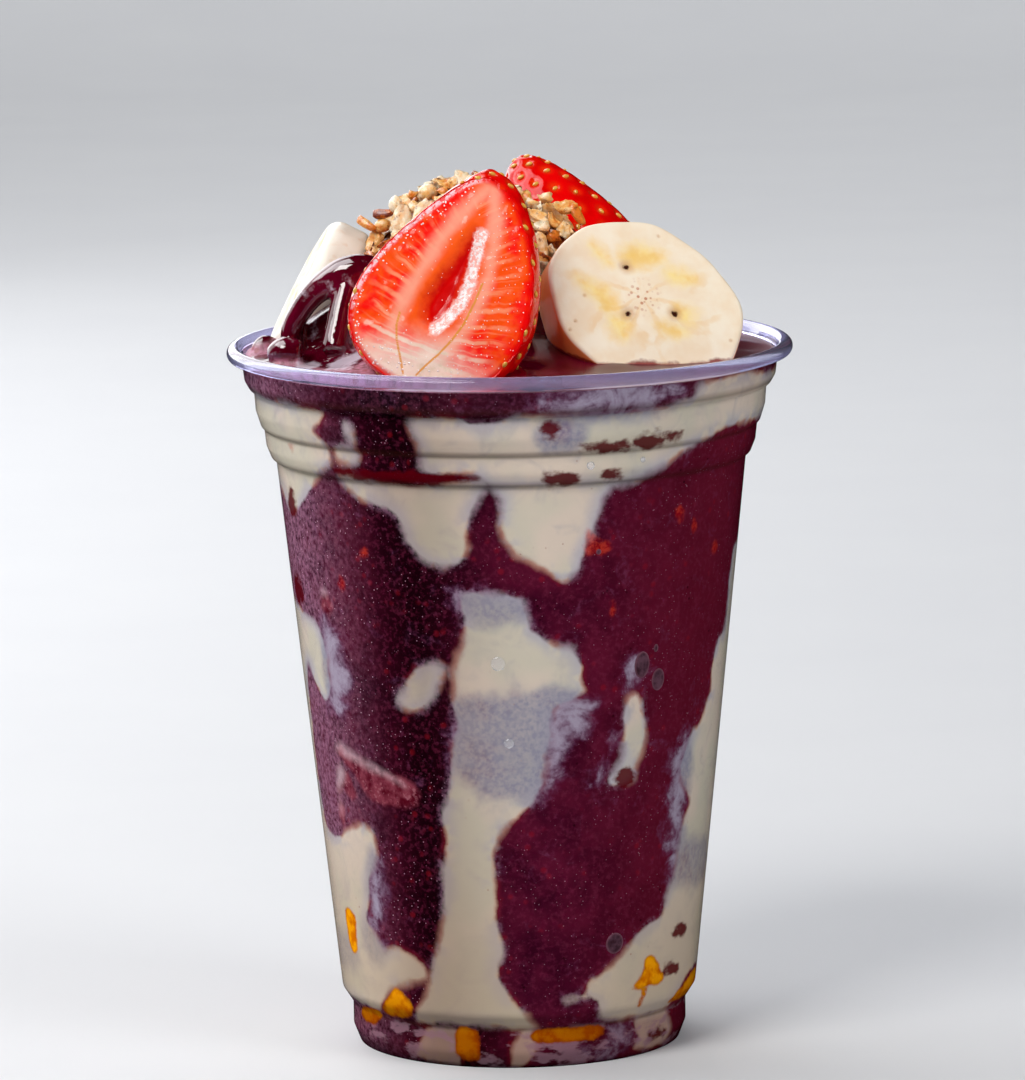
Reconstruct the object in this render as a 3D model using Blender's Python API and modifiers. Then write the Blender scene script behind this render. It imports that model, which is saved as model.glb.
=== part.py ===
"""Acai ice cream in a clear cup, topped with strawberry, banana and granola.

Axes: +Z up, +X to the right and the front towards -Y. The origin is the middle of the ring that the
cup stands on. Every constant below is in millimetres or degrees, and meshes are made in metres.
"""
import math

import bmesh
import bpy
from mathutils import Matrix, Vector, noise

MM = 0.001
GAP = 0.3                     # clearance between pieces that touch
PRESS = 0.45                  # how far a hollow stands off the topping pressed into it
OBJECT_NAME = "acai_ice_cream"

# Cup: a half-litre cup drawn from thin clear sheet
CUP_WALL = 0.5
TURN_STEPS = 40               # facets round the cup
LIP_RADIUS = 1.3              # bead rolled round the mouth
LIP_CENTRE = (47.7, 121.2)    # radius and height of the bead's middle
LIP_STEPS = 5
LIP_SWEEP = 225.0             # from the inside of the mouth over the top and under

# Outer side as (radius, height, rounding): shoulder, two stacking steps, taper, groove, foot
CUP_OUTER = (
    (46.4, 119.6, 0.0),
    (46.0, 116.6, 1.2),
    (45.2, 115.2, 0.0),
    (44.4, 114.9, 0.0),
    (44.15, 111.4, 1.5),
    (43.3, 108.7, 0.0),
    (42.75, 108.2, 0.0),
    (42.4, 105.2, 1.5),
    (41.6, 103.2, 0.0),
    (40.75, 102.7, 0.0),
    (31.3, 13.2, 0.0),
    (30.9, 9.6, 1.2),
    (29.1, 6.8, 0.8),
    (29.1, 2.8, 1.0),
    (28.0, 0.0, 0.0),
    (24.2, 0.0, 0.0),
    (22.6, 2.4, 0.0),
    (0.0, 2.4, 0.0),
)

# Acai: fills the cup, and is heaped up under the toppings
ACAI_LEVEL = 120.6
MOUND_HEIGHT = 16.5
MOUND_SPREAD = (26.0, 20.0)
MOUND_CENTRE = (-6.0, 1.0)
ACAI_RINGS = 8

# Fold of acai that stands over the left rim: (x, y, z, thickness radius) along each limb
FOLD_RIDGE = (
    (-39.8, -6.0, 119.0, 2.4),
    (-37.0, -8.0, 126.0, 2.8),
    (-32.5, -9.0, 131.8, 3.0),
    (-27.5, -9.0, 135.6, 3.2),
    (-21.5, -9.0, 135.0, 2.8),
    (-17.0, -9.5, 129.0, 2.4),
    (-15.5, -10.0, 123.0, 2.2),
)
FOLD_LEG = (
    (-25.0, -9.0, 134.5, 2.4),
    (-26.5, -10.0, 130.0, 2.1),
    (-28.2, -10.5, 126.0, 2.0),
    (-29.6, -10.5, 120.0, 2.0),
)
FOLD_BEAD = (
    (-41.2, -4.5, 119.5, 1.5),
    (-38.5, -5.5, 122.4, 2.6),
    (-35.0, -6.0, 119.5, 1.6),
)

# Strawberries: an egg with its tip up, told by its length and by reach and taper on each side
BERRY_SEGMENTS = 22
BERRY_RINGS = 14
FRONT_BERRY = {"length": 40.5, "left": (14.3, 0.55), "right": (15.0, 0.27), "depth": (13.0, 0.35)}
FRONT_BERRY_CUT = 4.0         # cut face this far in front of the widest section
FRONT_BERRY_FOOT = (-15.9, -33.2, 117.8)
FRONT_BERRY_YAW = -8.0
FRONT_BERRY_LEAN = 16.0
FRONT_BERRY_ROLL = 18.0

BACK_BERRY = {"length": 39.4, "left": (12.9, 0.43), "right": (12.9, 0.43), "depth": (12.5, 0.4)}
BACK_BERRY_CUT = 2.0
BACK_BERRY_FOOT = (18.4, 14.0, 117.2)
BACK_BERRY_YAW = 180.0
BACK_BERRY_LEAN = -12.0
BACK_BERRY_ROLL = 24.5

# Banana slices: (half-width along, half-width across, thickness) of an uneven oval
BANANA_SEGMENTS = 30
BANANA_EDGE = 0.7
BANANA_LOBES = 5
BANANA_LOBE_DEPTH = 0.015
RIGHT_BANANA = {"long": 17.9, "short": 15.4, "turn": 140.0, "thick": 8.0}
RIGHT_BANANA_FACE = (23.5, -18.7, 130.8)
RIGHT_BANANA_YAW = 20.0
RIGHT_BANANA_LEAN = 33.0
LEFT_BANANA = {"long": 14.0, "short": 13.4, "turn": 20.0, "thick": 8.5}
LEFT_BANANA_FACE = (-36.6, 9.0, 131.6)
LEFT_BANANA_YAW = -88.0
LEFT_BANANA_LEAN = 28.0

# Granola: one uneven heap laid over the mound, behind the front strawberry
GRANOLA_CENTRE = (-5.0, 5.5)
GRANOLA_REACH = (26.0, 17.0)
GRANOLA_HEIGHT = 13.5
GRANOLA_ROOT = 2.0            # how far its underside dips below the acai before it is cut away
GRANOLA_UNEVEN = 0.12
GRANOLA_LUMP = 0.4


def clear_scene():
    for item in list(bpy.data.objects):
        bpy.data.objects.remove(item, do_unlink=True)


def make_collection(name):
    collection = bpy.data.collections.new(name)
    bpy.context.scene.collection.children.link(collection)
    return collection


def make_material(name, colour, roughness, transmission=0.0):
    material = bpy.data.materials.new(name)
    material.use_nodes = True
    shader = material.node_tree.nodes["Principled BSDF"]
    shader.inputs["Base Color"].default_value = (*colour, 1.0)
    shader.inputs["Roughness"].default_value = roughness
    shader.inputs["Metallic"].default_value = 0.0
    shader.inputs["Transmission Weight"].default_value = transmission
    return material


def add_object(name, data, collection, material=None):
    item = bpy.data.objects.new(name, data)
    collection.objects.link(item)
    if material:
        data.materials.append(material)
    return item


def hide_as_guide(item):
    item.hide_render = True
    item.display_type = "WIRE"


def frozen_mesh(item):
    """The object's mesh with its modifiers applied, in world space."""
    bpy.context.view_layer.update()
    evaluated = item.evaluated_get(bpy.context.evaluated_depsgraph_get())
    mesh = bpy.data.meshes.new_from_object(evaluated)
    mesh.transform(item.matrix_world)
    return mesh


def rounded_outline(corners, steps=1):
    """Points of a (radius, height, rounding) outline, with an arc in place of each rounded corner."""
    points = []
    for index, (radius, height, rounding) in enumerate(corners):
        corner = Vector((radius, height))
        if rounding == 0.0:
            points.append(corner)
            continue
        before = (Vector(corners[index - 1][:2]) - corner).normalized()
        after = (Vector(corners[index + 1][:2]) - corner).normalized()
        half_angle = before.angle(after) / 2
        start = corner + before * (rounding / math.tan(half_angle))
        end = corner + after * (rounding / math.tan(half_angle))
        centre = corner + (before + after).normalized() * (rounding / math.sin(half_angle))
        for step in range(steps + 1):
            spoke = start.lerp(end, step / steps) - centre
            points.append(centre + spoke.normalized() * rounding)
    return points


def inset_outline(corners, depth):
    """The outline moved inwards by depth, without its rounding, for the inside of a turned shell."""
    plain = [Vector(corner[:2]) for corner in corners]
    inset = []
    for index, corner in enumerate(plain):
        before = plain[max(index - 1, 0)]
        after = plain[min(index + 1, len(plain) - 1)]
        normals = [
            Vector((end.y - start.y, start.x - end.x)).normalized()
            for start, end in ((before, corner), (corner, after)) if start != end
        ]
        mean = sum(normals, Vector((0.0, 0.0))).normalized()
        moved = corner + mean * (depth / mean.dot(normals[0]))
        inset.append(Vector((0.0 if corner.x == 0.0 else moved.x, moved.y)))
    return inset


def add_turned(name, outline, collection, material):
    """A solid of revolution from an outline that runs from the axis, over the top and down."""
    mesh = bpy.data.meshes.new(name)
    points = [(point.x * MM, 0.0, point.y * MM) for point in outline]
    edges = [(index, index + 1) for index in range(len(points) - 1)]
    mesh.from_pydata(points, edges, [])
    item = add_object(name, mesh, collection, material)
    screw = item.modifiers.new("turn", "SCREW")
    screw.steps = TURN_STEPS
    screw.render_steps = TURN_STEPS
    screw.use_merge_vertices = True
    screw.merge_threshold = 0.00001
    return item


def lip_outline():
    """The rolled bead, from its inner side over the top to where it meets the wall below."""
    radius, height = LIP_CENTRE
    points = []
    for step in range(LIP_STEPS + 1):
        angle = math.radians(180.0 - LIP_SWEEP * step / LIP_STEPS)
        spoke = Vector((math.cos(angle), math.sin(angle)))
        points.append(Vector((radius, height)) + spoke * LIP_RADIUS)
    return points


def build_cup(collection):
    plastic = make_material("clear_cup", (0.93, 0.94, 0.97), 0.05, transmission=1.0)
    inside = inset_outline(CUP_OUTER, CUP_WALL)
    inside.reverse()
    outline = inside + lip_outline() + rounded_outline(CUP_OUTER)
    return add_turned("cup", outline, collection, plastic)


def acai_top(x, y):
    """Height of the acai: level at the wall, and heaped up towards the middle."""
    across = (x - MOUND_CENTRE[0]) / MOUND_SPREAD[0]
    along = (y - MOUND_CENTRE[1]) / MOUND_SPREAD[1]
    edge = min(1.0, math.hypot(x, y) / LIP_CENTRE[0])
    return ACAI_LEVEL + MOUND_HEIGHT * math.exp(-across ** 2 - along ** 2) * (1.0 - edge ** 8)


def add_limb(name, points, collection):
    """A round limb whose thickness changes along a smooth path, as a closed mesh."""
    curve = bpy.data.curves.new(name, "CURVE")
    curve.dimensions = "3D"
    curve.bevel_depth = MM
    curve.bevel_resolution = 2
    curve.resolution_u = 3
    curve.use_fill_caps = True
    spline = curve.splines.new("BEZIER")
    spline.bezier_points.add(len(points) - 1)
    for knot, (x, y, z, radius) in zip(spline.bezier_points, points):
        knot.co = (x * MM, y * MM, z * MM)
        knot.radius = radius
        knot.handle_left_type = "AUTO"
        knot.handle_right_type = "AUTO"
    guide = add_object(name + "_path", curve, collection)
    mesh = frozen_mesh(guide)
    bpy.data.objects.remove(guide)
    welded = bmesh.new()
    welded.from_mesh(mesh)
    bmesh.ops.remove_doubles(welded, verts=welded.verts, dist=0.00001)
    welded.to_mesh(mesh)
    welded.free()
    limb = add_object(name, mesh, collection)
    hide_as_guide(limb)
    return limb


def combine(item, other, operation):
    boolean = item.modifiers.new(operation.lower() + "_" + other.name, "BOOLEAN")
    boolean.operation = operation
    boolean.solver = "EXACT"
    boolean.object = other


def build_acai(collection, guides):
    purple = make_material("acai", (0.10, 0.012, 0.03), 0.12)
    wall = inset_outline(CUP_OUTER, CUP_WALL + GAP)
    rim = wall[0].x
    surface = [Vector((rim * ring / ACAI_RINGS, ACAI_LEVEL)) for ring in range(ACAI_RINGS)]
    outline = surface + [Vector((rim, ACAI_LEVEL))] + wall[1:]
    turned = add_turned("acai_turned", outline, guides, None)
    mesh = frozen_mesh(turned)
    bpy.data.objects.remove(turned)
    for vertex in mesh.vertices:
        if vertex.co.z > (ACAI_LEVEL - GAP) * MM:
            vertex.co.z = acai_top(vertex.co.x / MM, vertex.co.y / MM) * MM
    acai = add_object("acai", mesh, collection, purple)
    for name, points in (("fold_ridge", FOLD_RIDGE), ("fold_leg", FOLD_LEG), ("fold_bead", FOLD_BEAD)):
        combine(acai, add_limb(name, points, guides), "UNION")
    return acai


def facing(centre, yaw, lean, roll=0.0):
    """Placement that turns local -Y to yaw from the front and tips it up by lean, rolled clockwise."""
    turn = Matrix.Rotation(math.radians(yaw), 4, "Z") @ Matrix.Rotation(math.radians(-lean), 4, "X")
    return Matrix.Translation(Vector(centre) * MM) @ turn @ Matrix.Rotation(math.radians(roll), 4, "Y")


def egg(reach_and_taper, angle):
    """Half-width of a strawberry at an angle measured from its tip."""
    reach, taper = reach_and_taper
    return reach * math.sin(angle) * (1.0 - taper * math.cos(angle))


def add_berry(name, form, cut, placement, collection, material):
    """A strawberry with its foot at the origin and its tip up, sliced flat at y = -cut."""
    shape = bmesh.new()
    bmesh.ops.create_uvsphere(shape, u_segments=BERRY_SEGMENTS, v_segments=BERRY_RINGS, radius=1.0)
    for vertex in shape.verts:
        unit = vertex.co.copy()
        angle = math.acos(max(-1.0, min(1.0, unit.z)))
        ring = max(math.sin(angle), 1e-6)
        side = form["right"] if unit.x > 0.0 else form["left"]
        vertex.co.x = unit.x / ring * egg(side, angle) * MM
        vertex.co.y = unit.y / ring * egg(form["depth"], angle) * MM
        vertex.co.z = form["length"] * (1.0 + unit.z) / 2 * MM
    everything = shape.verts[:] + shape.edges[:] + shape.faces[:]
    sliced = bmesh.ops.bisect_plane(
        shape, geom=everything, plane_co=(0.0, -cut * MM, 0.0), plane_no=(0.0, -1.0, 0.0),
        clear_outer=True)
    rim = [part for part in sliced["geom_cut"] if isinstance(part, bmesh.types.BMEdge)]
    bmesh.ops.contextual_create(shape, geom=rim)
    bmesh.ops.recalc_face_normals(shape, faces=shape.faces)
    mesh = bpy.data.meshes.new(name)
    shape.to_mesh(mesh)
    shape.free()
    berry = add_object(name, mesh, collection, material)
    berry.matrix_world = placement
    return berry


def add_banana(name, form, placement, collection, material):
    """A banana slice with the middle of its front face at the origin, facing local -Y."""
    shape = bmesh.new()
    bmesh.ops.create_cone(
        shape, cap_ends=True, segments=BANANA_SEGMENTS, radius1=1.0, radius2=1.0, depth=form["thick"] * MM)
    bmesh.ops.rotate(shape, verts=shape.verts, matrix=Matrix.Rotation(math.radians(90.0), 3, "X"))
    bmesh.ops.translate(shape, verts=shape.verts, vec=(0.0, form["thick"] / 2 * MM, 0.0))
    for vertex in shape.verts:
        angle = math.atan2(vertex.co.z, vertex.co.x)
        across = angle - math.radians(form["turn"])
        lobes = 1.0 + BANANA_LOBE_DEPTH * math.cos(BANANA_LOBES * across)
        radius = math.hypot(form["long"] * math.cos(across), form["short"] * math.sin(across)) * lobes
        vertex.co.x = radius * math.cos(angle) * MM
        vertex.co.z = radius * math.sin(angle) * MM
    mesh = bpy.data.meshes.new(name)
    shape.to_mesh(mesh)
    shape.free()
    slice_object = add_object(name, mesh, collection, material)
    slice_object.matrix_world = placement
    bevel = slice_object.modifiers.new("soft_edge", "BEVEL")
    bevel.width = BANANA_EDGE * MM
    bevel.segments = 1
    bevel.limit_method = "ANGLE"
    return slice_object


def build_toppings(collection):
    red = make_material("strawberry", (0.80, 0.06, 0.04), 0.2)
    cream = make_material("banana", (0.90, 0.82, 0.64), 0.45)
    front = facing(FRONT_BERRY_FOOT, FRONT_BERRY_YAW, FRONT_BERRY_LEAN, FRONT_BERRY_ROLL)
    back = facing(BACK_BERRY_FOOT, BACK_BERRY_YAW, BACK_BERRY_LEAN, BACK_BERRY_ROLL)
    right = facing(RIGHT_BANANA_FACE, RIGHT_BANANA_YAW, RIGHT_BANANA_LEAN)
    left = facing(LEFT_BANANA_FACE, LEFT_BANANA_YAW, LEFT_BANANA_LEAN)
    return [
        add_berry("strawberry_front", FRONT_BERRY, FRONT_BERRY_CUT, front, collection, red),
        add_berry("strawberry_back", BACK_BERRY, BACK_BERRY_CUT, back, collection, red),
        add_banana("banana_right", RIGHT_BANANA, right, collection, cream),
        add_banana("banana_left", LEFT_BANANA, left, collection, cream),
    ]


def build_granola(collection):
    golden = make_material("granola", (0.55, 0.33, 0.13), 0.6)
    shape = bmesh.new()
    bmesh.ops.create_icosphere(shape, subdivisions=3, radius=1.0)
    for vertex in shape.verts:
        swell = 1.0 + GRANOLA_UNEVEN * noise.noise(vertex.co / GRANOLA_LUMP)
        x = GRANOLA_CENTRE[0] + GRANOLA_REACH[0] * vertex.co.x * swell
        y = GRANOLA_CENTRE[1] + GRANOLA_REACH[1] * vertex.co.y * swell
        depth = GRANOLA_HEIGHT * swell if vertex.co.z > 0.0 else GRANOLA_ROOT
        vertex.co = Vector((x, y, acai_top(x, y) + depth * vertex.co.z)) * MM
    mesh = bpy.data.meshes.new("granola")
    shape.to_mesh(mesh)
    shape.free()
    return add_object("granola", mesh, collection, golden)


def swollen_copy(item, guides):
    """A guide the shape of item, larger all round by the clearance that a pressed-in piece keeps."""
    guide = add_object(item.name + "_hollow", frozen_mesh(item), guides)
    swell = guide.modifiers.new("swell", "DISPLACE")
    swell.mid_level = 0.0
    swell.strength = PRESS * MM
    hide_as_guide(guide)
    return guide


def build():
    clear_scene()
    collection = make_collection(OBJECT_NAME)
    guides = make_collection("cutters")
    build_cup(collection)
    acai = build_acai(collection, guides)
    toppings = build_toppings(collection)
    granola = build_granola(collection)
    combine(granola, swollen_copy(acai, guides), "DIFFERENCE")
    for topping in toppings:
        hollow = swollen_copy(topping, guides)
        combine(acai, hollow, "DIFFERENCE")
        combine(granola, hollow, "DIFFERENCE")


build()
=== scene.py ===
"""Looks of the acai ice cream in its clear cup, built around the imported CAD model.

Sizes are in millimetres and degrees and in the CAD's own axes: +Z up, the front towards -Y and +X to
the right. Meshes are made in metres. Colours are written as the 0 to 255 values that a screen shows.
A place on the cup's wall is told by its azimuth, from the front towards +X, and its height.
"""
import math
from contextlib import contextmanager

import bmesh
import bpy
import numpy as np
from mathutils import Matrix, Vector, noise
from mathutils.bvhtree import BVHTree


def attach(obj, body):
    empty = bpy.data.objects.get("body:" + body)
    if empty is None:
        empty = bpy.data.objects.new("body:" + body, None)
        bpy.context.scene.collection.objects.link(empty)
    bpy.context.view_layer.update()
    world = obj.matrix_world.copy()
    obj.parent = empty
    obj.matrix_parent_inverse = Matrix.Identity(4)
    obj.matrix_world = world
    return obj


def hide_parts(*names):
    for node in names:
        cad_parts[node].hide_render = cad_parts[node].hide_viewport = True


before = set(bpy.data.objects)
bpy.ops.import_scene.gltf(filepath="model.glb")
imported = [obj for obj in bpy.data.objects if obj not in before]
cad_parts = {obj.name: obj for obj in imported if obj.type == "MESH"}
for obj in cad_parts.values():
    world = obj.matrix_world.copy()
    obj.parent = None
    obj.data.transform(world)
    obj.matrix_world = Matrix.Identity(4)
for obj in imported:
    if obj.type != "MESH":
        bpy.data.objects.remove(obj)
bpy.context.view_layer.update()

MM = 0.001
SAME_PLACE = 1e-7             # points nearer than this are one, in metres
SEED = 11

# Cup and acai, as in the CAD: (radius, height, rounding) down the cup's outer side
CUP_WALL = 0.5
LIP_RADIUS = 1.3
LIP_CENTRE = (47.7, 121.2)
LIP_SWEEP = 225.0
CUP_OUTER = (
    (46.4, 119.6, 0.0),
    (46.0, 116.6, 1.2),
    (45.2, 115.2, 0.5),
    (44.4, 114.9, 0.3),
    (44.15, 111.4, 1.5),
    (43.3, 108.7, 0.5),
    (42.75, 108.2, 0.3),
    (42.4, 105.2, 1.5),
    (41.6, 103.2, 0.5),
    (40.75, 102.7, 0.4),
    (31.3, 13.2, 2.0),
    (30.9, 9.6, 1.2),
    (29.1, 6.8, 0.8),
    (29.1, 2.8, 1.0),
    (28.0, 0.0, 0.0),
    (24.2, 0.0, 0.0),
    (22.6, 2.4, 0.0),
    (0.0, 2.4, 0.0),
)
ACAI_LEVEL = 120.6
MOUND_HEIGHT = 16.5
MOUND_SPREAD = (26.0, 20.0)
MOUND_CENTRE = (-6.0, 1.0)

ARC_STEPS = 6                 # points of a rounded corner, and between two points of a smooth curve
OVAL_POINTS = 8
CUP_COLUMNS = 192
WALL_COLUMNS = 400
WALL_STEP = 0.62              # spacing of the acai's rows along the cup's outline
WALL_DEPTH = 0.25             # the acai reaches this far under the cup's outer side, into the wall
EDGE_MARGIN = 6.0             # distances from a patch's edge are kept up to this far


# ---- Node materials ----

def shown(red, green, blue):
    """A colour given as a screen shows it, as the linear colour that a shader takes."""
    return tuple((value / 255.0) ** 2.2 for value in (red, green, blue))


class Finish:
    """A material under construction. Each method adds a node and returns its output."""

    def __init__(self, name, **sockets):
        self.material = bpy.data.materials.new(name)
        self.material.use_nodes = True
        self.tree = self.material.node_tree
        self.shader = self.tree.nodes["Principled BSDF"]
        self.place = self.add("TexCoord", output="Object")
        self.set(**sockets)

    def plug(self, socket, value):
        if isinstance(value, bpy.types.NodeSocket):
            self.tree.links.new(value, socket)
        elif socket.type == "RGBA":
            socket.default_value = (*value, 1.0)
        else:
            socket.default_value = value

    def set(self, **sockets):
        """Sets or links the Principled shader's sockets, named with _ in place of a space."""
        for name, value in sockets.items():
            self.plug(self.shader.inputs[name.replace("_", " ")], value)

    def add(self, kind, inputs=(), output=0, **settings):
        node = self.tree.nodes.new("ShaderNode" + kind)
        for name, value in settings.items():
            setattr(node, name, value)
        for name, value in dict(inputs).items():
            self.plug(node.inputs[name], value)
        return node.outputs[output]

    def attribute(self, name):
        return self.add("Attribute", output="Fac", attribute_name=name)

    def noise(self, size, detail=3.0, rough=0.55, warp=0.0, squeeze=None):
        """Noise about 0.5 with features size across, divided by squeeze along each axis."""
        place = self.place
        if squeeze:
            place = self.add("VectorMath", {0: place, 1: squeeze}, operation="MULTIPLY")
        inputs = {"Vector": place, "Scale": 1.0 / (size * MM), "Detail": detail, "Roughness": rough,
                  "Distortion": warp}
        return self.add("TexNoise", inputs, output="Fac")

    def cells(self, size):
        """Distance from the nearest of a scatter of points, in cell widths."""
        return self.add("TexVoronoi", {"Vector": self.place, "Scale": 1.0 / (size * MM)}, output="Distance")

    def calc(self, operation, *values):
        return self.add("Math", enumerate(values), operation=operation)

    def product(self, first, *others):
        for other in others:
            first = self.calc("MULTIPLY", first, other)
        return first

    def swayed(self, value, *sways):
        """The value with centred noises added, each given as (noise, amount)."""
        for sway, amount in sways:
            value = self.calc("ADD", value, self.calc("MULTIPLY", self.calc("SUBTRACT", sway, 0.5), amount))
        return value

    def fade(self, value, low, high, top=1.0):
        """0 where value is low, rising smoothly to top where it is high."""
        inputs = {"Value": value, "From Min": low, "From Max": high, "To Max": top}
        return self.add("MapRange", inputs, interpolation_type="SMOOTHSTEP")

    def blend(self, factor, first, second, kind="MIX"):
        inputs = {0: factor, 6: first, 7: second}
        return self.add("Mix", output=2, data_type="RGBA", blend_type=kind, inputs=inputs)

    def coat(self, base, mask, colour, strength=1.0):
        """The base colour covered by another, as a screen shows it, where the mask says."""
        if strength != 1.0:
            mask = self.calc("MULTIPLY", mask, strength)
        return self.blend(mask, base, shown(*colour))

    def mask(self, layer, low, high, *sways, top=1.0):
        """A painted layer, with sways, as a mask: 0 where it is low, rising to top where it is high."""
        return self.fade(self.swayed(self.attribute(layer), *sways), low, high, top)

    def bump(self, height, distance, strength=1.0):
        """Relief of height times distance, in millimetres."""
        inputs = {"Height": height, "Distance": distance * MM, "Strength": strength}
        self.set(Normal=self.add("Bump", inputs))


# ---- Meshes ----

@contextmanager
def reshaping(mesh):
    """The mesh as a bmesh to work on, written back afterwards."""
    shape = bmesh.new()
    shape.from_mesh(mesh)
    yield shape
    shape.to_mesh(mesh)
    shape.free()


def round_angles(count):
    """Angles of count points spread evenly round a circle."""
    return np.linspace(0.0, 2.0 * math.pi, count, endpoint=False)


def grid_mesh(name, rows):
    """A mesh from an array of rows of points. Each row closes up into a ring."""
    count, columns = rows.shape[:2]
    index = np.arange(count * columns).reshape(count, columns)
    beside = np.roll(index, -1, axis=1)
    faces = np.stack([index[:-1], index[1:], beside[1:], beside[:-1]], axis=-1).reshape(-1, 4)
    mesh = bpy.data.meshes.new(name)
    mesh.from_pydata((rows.reshape(-1, 3) * MM).tolist(), [], faces.tolist())
    with reshaping(mesh) as shape:
        bmesh.ops.remove_doubles(shape, verts=shape.verts, dist=SAME_PLACE)
    mesh.shade_smooth()
    return mesh


def vertex_normals(mesh):
    return np.array([tuple(normal.vector) for normal in mesh.vertex_normals])


def search_tree(mesh):
    """A search tree of the mesh's faces, in millimetres."""
    return BVHTree.FromPolygons(places(mesh).tolist(), [tuple(face.vertices) for face in mesh.polygons])


def places(mesh):
    """The mesh's vertices, in millimetres."""
    flat = np.empty(len(mesh.vertices) * 3, np.float32)
    mesh.vertices.foreach_get("co", flat)
    return flat.reshape(-1, 3).astype(float) / MM


def paint(mesh, **layers):
    """Stores one number for each vertex in each layer, which a material reads by name."""
    for name, values in layers.items():
        layer = mesh.attributes.new(name, "FLOAT", "POINT")
        layer.data.foreach_set("value", np.asarray(values, np.float32))


def add_object(name, data):
    item = bpy.data.objects.new(name, data)
    bpy.context.scene.collection.objects.link(item)
    return item


def add_piece(name, mesh, finish, slot, *replaced):
    piece = add_object(name, mesh)
    mesh.materials.append(finish.material)
    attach(piece, "root")
    if replaced:
        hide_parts(*replaced)


def smoothstep(values, low, high):
    share = np.clip((values - low) / (high - low), 0.0, 1.0)
    return share * share * (3.0 - 2.0 * share)


# ---- Turned shapes ----

def rounded_outline(corners):
    """Points of a (radius, height, rounding) outline, with an arc in place of each rounded corner."""
    points = []
    for index, (radius, height, rounding) in enumerate(corners):
        corner = Vector((radius, height))
        if rounding == 0.0:
            points.append(corner)
            continue
        before = (Vector(corners[index - 1][:2]) - corner).normalized()
        after = (Vector(corners[index + 1][:2]) - corner).normalized()
        half_angle = before.angle(after) / 2
        start = corner + before * (rounding / math.tan(half_angle))
        end = corner + after * (rounding / math.tan(half_angle))
        centre = corner + (before + after).normalized() * (rounding / math.sin(half_angle))
        for step in range(ARC_STEPS + 1):
            spoke = start.lerp(end, step / ARC_STEPS) - centre
            points.append(centre + spoke.normalized() * rounding)
    return points


def inset_outline(corners, depth):
    """The outline moved inwards by depth, with the same roundings."""
    plain = [Vector(corner[:2]) for corner in corners]
    inset = []
    for index, corner in enumerate(plain):
        before = plain[max(index - 1, 0)]
        after = plain[min(index + 1, len(plain) - 1)]
        normals = [
            Vector((end.y - start.y, start.x - end.x)).normalized()
            for start, end in ((before, corner), (corner, after)) if start != end
        ]
        mean = sum(normals, Vector((0.0, 0.0))).normalized()
        moved = corner + mean * (depth / mean.dot(normals[0]))
        inset.append((0.0 if corner.x == 0.0 else moved.x, moved.y, corners[index][2]))
    return inset


def evenly(outline, step):
    """The outline again with points about step apart, keeping its ends."""
    points = np.array([tuple(point) for point in outline])
    run = np.concatenate([[0.0], np.cumsum(np.hypot(*np.diff(points, axis=0).T))])
    marks = np.linspace(0.0, run[-1], int(run[-1] / step) + 1)
    return np.stack([np.interp(marks, run, points[:, 0]), np.interp(marks, run, points[:, 1])], axis=1)


def turned_rows(outline, columns):
    """Rings of points for an outline of radius and height, turned about Z."""
    points = np.array([tuple(point) for point in outline])
    angles = round_angles(columns)
    radius, height = points[:, :1], points[:, 1:]
    return np.stack([radius * np.cos(angles), radius * np.sin(angles), height + 0.0 * angles], axis=-1)


# ---- Patches on the wall ----

WALL_OUTLINE = evenly(rounded_outline(inset_outline(CUP_OUTER, WALL_DEPTH)), WALL_STEP)
SIDE = WALL_OUTLINE[:WALL_OUTLINE[:, 1].argmin() + 1]


def wall_radius(height):
    """Radius of the acai's side at a height."""
    rising = SIDE[::-1]
    return np.interp(height, rising[:, 1], rising[:, 0])


def on_wall(azimuth, height, rise):
    """Points at azimuths and heights that stand out from the acai's side by rise."""
    radius = wall_radius(height) + rise
    turn = np.radians(azimuth)
    return np.stack([radius * np.sin(turn), -radius * np.cos(turn), height + 0.0 * turn], axis=-1)


def wall_places(mesh, middle=0.0):
    """Azimuths within half a turn of the middle, and heights, of a mesh's vertices."""
    spot = places(mesh)
    azimuth = np.degrees(np.arctan2(spot[:, 0], -spot[:, 1]))
    return middle + (azimuth - middle + 180.0) % 360.0 - 180.0, spot[:, 2]


def unrolled(azimuth, height):
    """A place on the wall as millimetres round the cup from its front, and height."""
    return np.stack([np.radians(azimuth) * wall_radius(height), np.asarray(height, float)], axis=-1)


def closed_curve(points):
    """A smooth closed curve through the points."""
    start = np.asarray(points, float)
    before, end, after = np.roll(start, 1, 0), np.roll(start, -1, 0), np.roll(start, -2, 0)
    share = np.arange(ARC_STEPS)[:, None, None] / ARC_STEPS
    curve = 0.5 * (
        2.0 * start + (end - before) * share
        + (2.0 * before - 5.0 * start + 4.0 * end - after) * share ** 2
        + (3.0 * start - before - 3.0 * end + after) * share ** 3)
    return curve.transpose(1, 0, 2).reshape(-1, 2)


def oval(azimuth, height, half_width, half_height):
    """An oval outline on the wall, its half-width in degrees."""
    angles = round_angles(OVAL_POINTS)
    return np.stack([azimuth + half_width * np.cos(angles), height + half_height * np.sin(angles)], axis=1)


def ovals(*sizes):
    return tuple(oval(*size) for size in sizes)


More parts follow.
